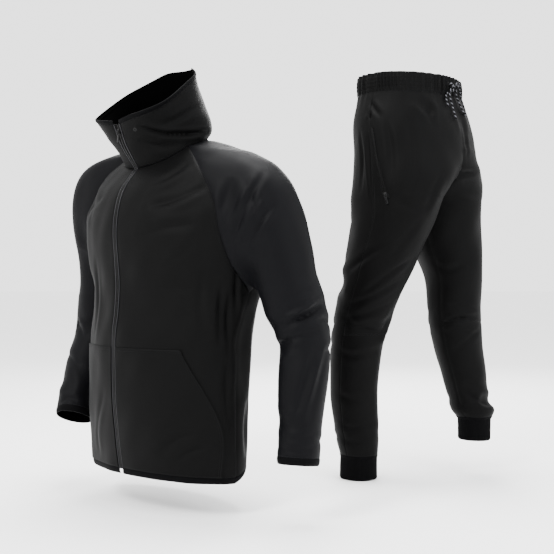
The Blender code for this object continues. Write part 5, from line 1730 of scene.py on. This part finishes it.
def cordLine(side):
    # The same points as the frame's cord: across, height and how proud of the cloth.
    route = np.array(drawstring[side], float)
    steps = np.linspace(0, len(route) - 1, drawstring["points"][side])
    across, height, proud = tableAt(np.column_stack([np.arange(len(route)), route]), steps)
    rows = sorted([(0.0, *trousers["hip"]["rows"][0][1:]), *trousers["hip"]["rows"]])
    keys = [row[0] for row in rows]
    half = np.interp(height, keys, [row[1] for row in rows])
    depth = np.interp(height, keys, [row[2] for row in rows])
    middle = np.interp(height, keys, [row[4] for row in rows])
    out = depth * np.sqrt(np.clip(1 - (across / half) ** 2, 0, 1)) - middle
    return inScene("trousers", np.stack([across, -out - proud, height], axis=1))


def cordPiece(side):
    line = cordLine(side)
    spans = runOf(line)
    length = spans[-1]
    fineAt = np.linspace(0, length, int(length / drawstring["ringStep"]) + 1)
    path = tableAt(np.column_stack([spans, line]), fineAt).T
    along = unit(np.gradient(path, axis=0))
    sideways = unit(np.cross(along[0], [0.3, 0.5, 0.8]))
    sides, radius = drawstring["sides"], drawstring["diameter"] / 2
    angle = np.linspace(0, 2 * np.pi, sides, endpoint=False)
    rings = []
    for at, spot, way in zip(fineAt, path, along):
        # The braid's strands make small swells, and the cut end is sealed to a blunt tip.
        sideways = unit(sideways - way * (sideways @ way))
        upward = np.cross(way, sideways)
        tip = min(1.0, 0.62 + (length - at) / drawstring["tipLength"] * 0.38)
        swell = 1 + drawstring["swell"] * np.cos(4 * angle + at * 2 * np.pi / drawstring["turn"])
        outward = np.cos(angle)[:, None] * sideways + np.sin(angle)[:, None] * upward
        rings.append(spot + radius * tip * swell[:, None] * outward)
    count = len(path)
    cells, i, j = cellsOf(count, sides, True)
    faces = cells.tolist()
    points = np.array(rings).reshape(-1, 3).tolist() + [path[0].tolist(), path[-1].tolist()]
    faces += [[(j + 1) % sides, j, count * sides] for j in range(sides)]
    last = (count - 1) * sides
    faces += [[last + j, last + (j + 1) % sides, count * sides + 1] for j in range(sides)]
    mesh = bpy.data.meshes.new(f"drawstring_braid_{side}")
    mesh.from_pydata(points, [], faces)
    layer = mesh.uv_layers.new(name="cloth")
    flat = np.zeros((len(mesh.loops), 2), np.float32)
    around = np.arange(sides + 1) * (2 * np.pi * radius / sides)
    quads = cellCorners(around, fineAt, i, j).reshape(-1, 2)
    flat[: len(quads)] = quads
    layer.data.foreach_set("uv", flat.ravel())
    mesh.materials.append(materials["marled braid"])
    mesh.shade_smooth()
    piece = addPiece(mesh.name, mesh)
    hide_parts(f"drawstring_{side}")
    print(f"tracksuit: drawstring {side} {length * 1000:.0f} mm")


for side in ("left", "right"):
    cordPiece(side)

# A pass over the sewn sheets that does nothing with them

for name, s in sheets.items():
    if "held" not in s:
        continue

# Floor

floorMesh = bpy.data.meshes.new("floor")
reach, height = 30.0, cadBounds[0][2] - 0.002
corners = [(x * reach, y * reach, height) for x, y in ((-1, -1), (1, -1), (1, 1), (-1, 1))]
floorMesh.from_pydata(corners, [], [(0, 1, 2, 3)])
floorMaterial, floorTree, floorShader = newMaterial("matte white paper", Roughness=0.9)
floorShader.inputs["Base Color"].default_value = (*linear("#f7f7f7"), 1)
floorMesh.materials.append(floorMaterial)
floor = bpy.data.objects.new("floor", floorMesh)
bpy.context.scene.collection.objects.link(floor)

print("tracksuit: done")
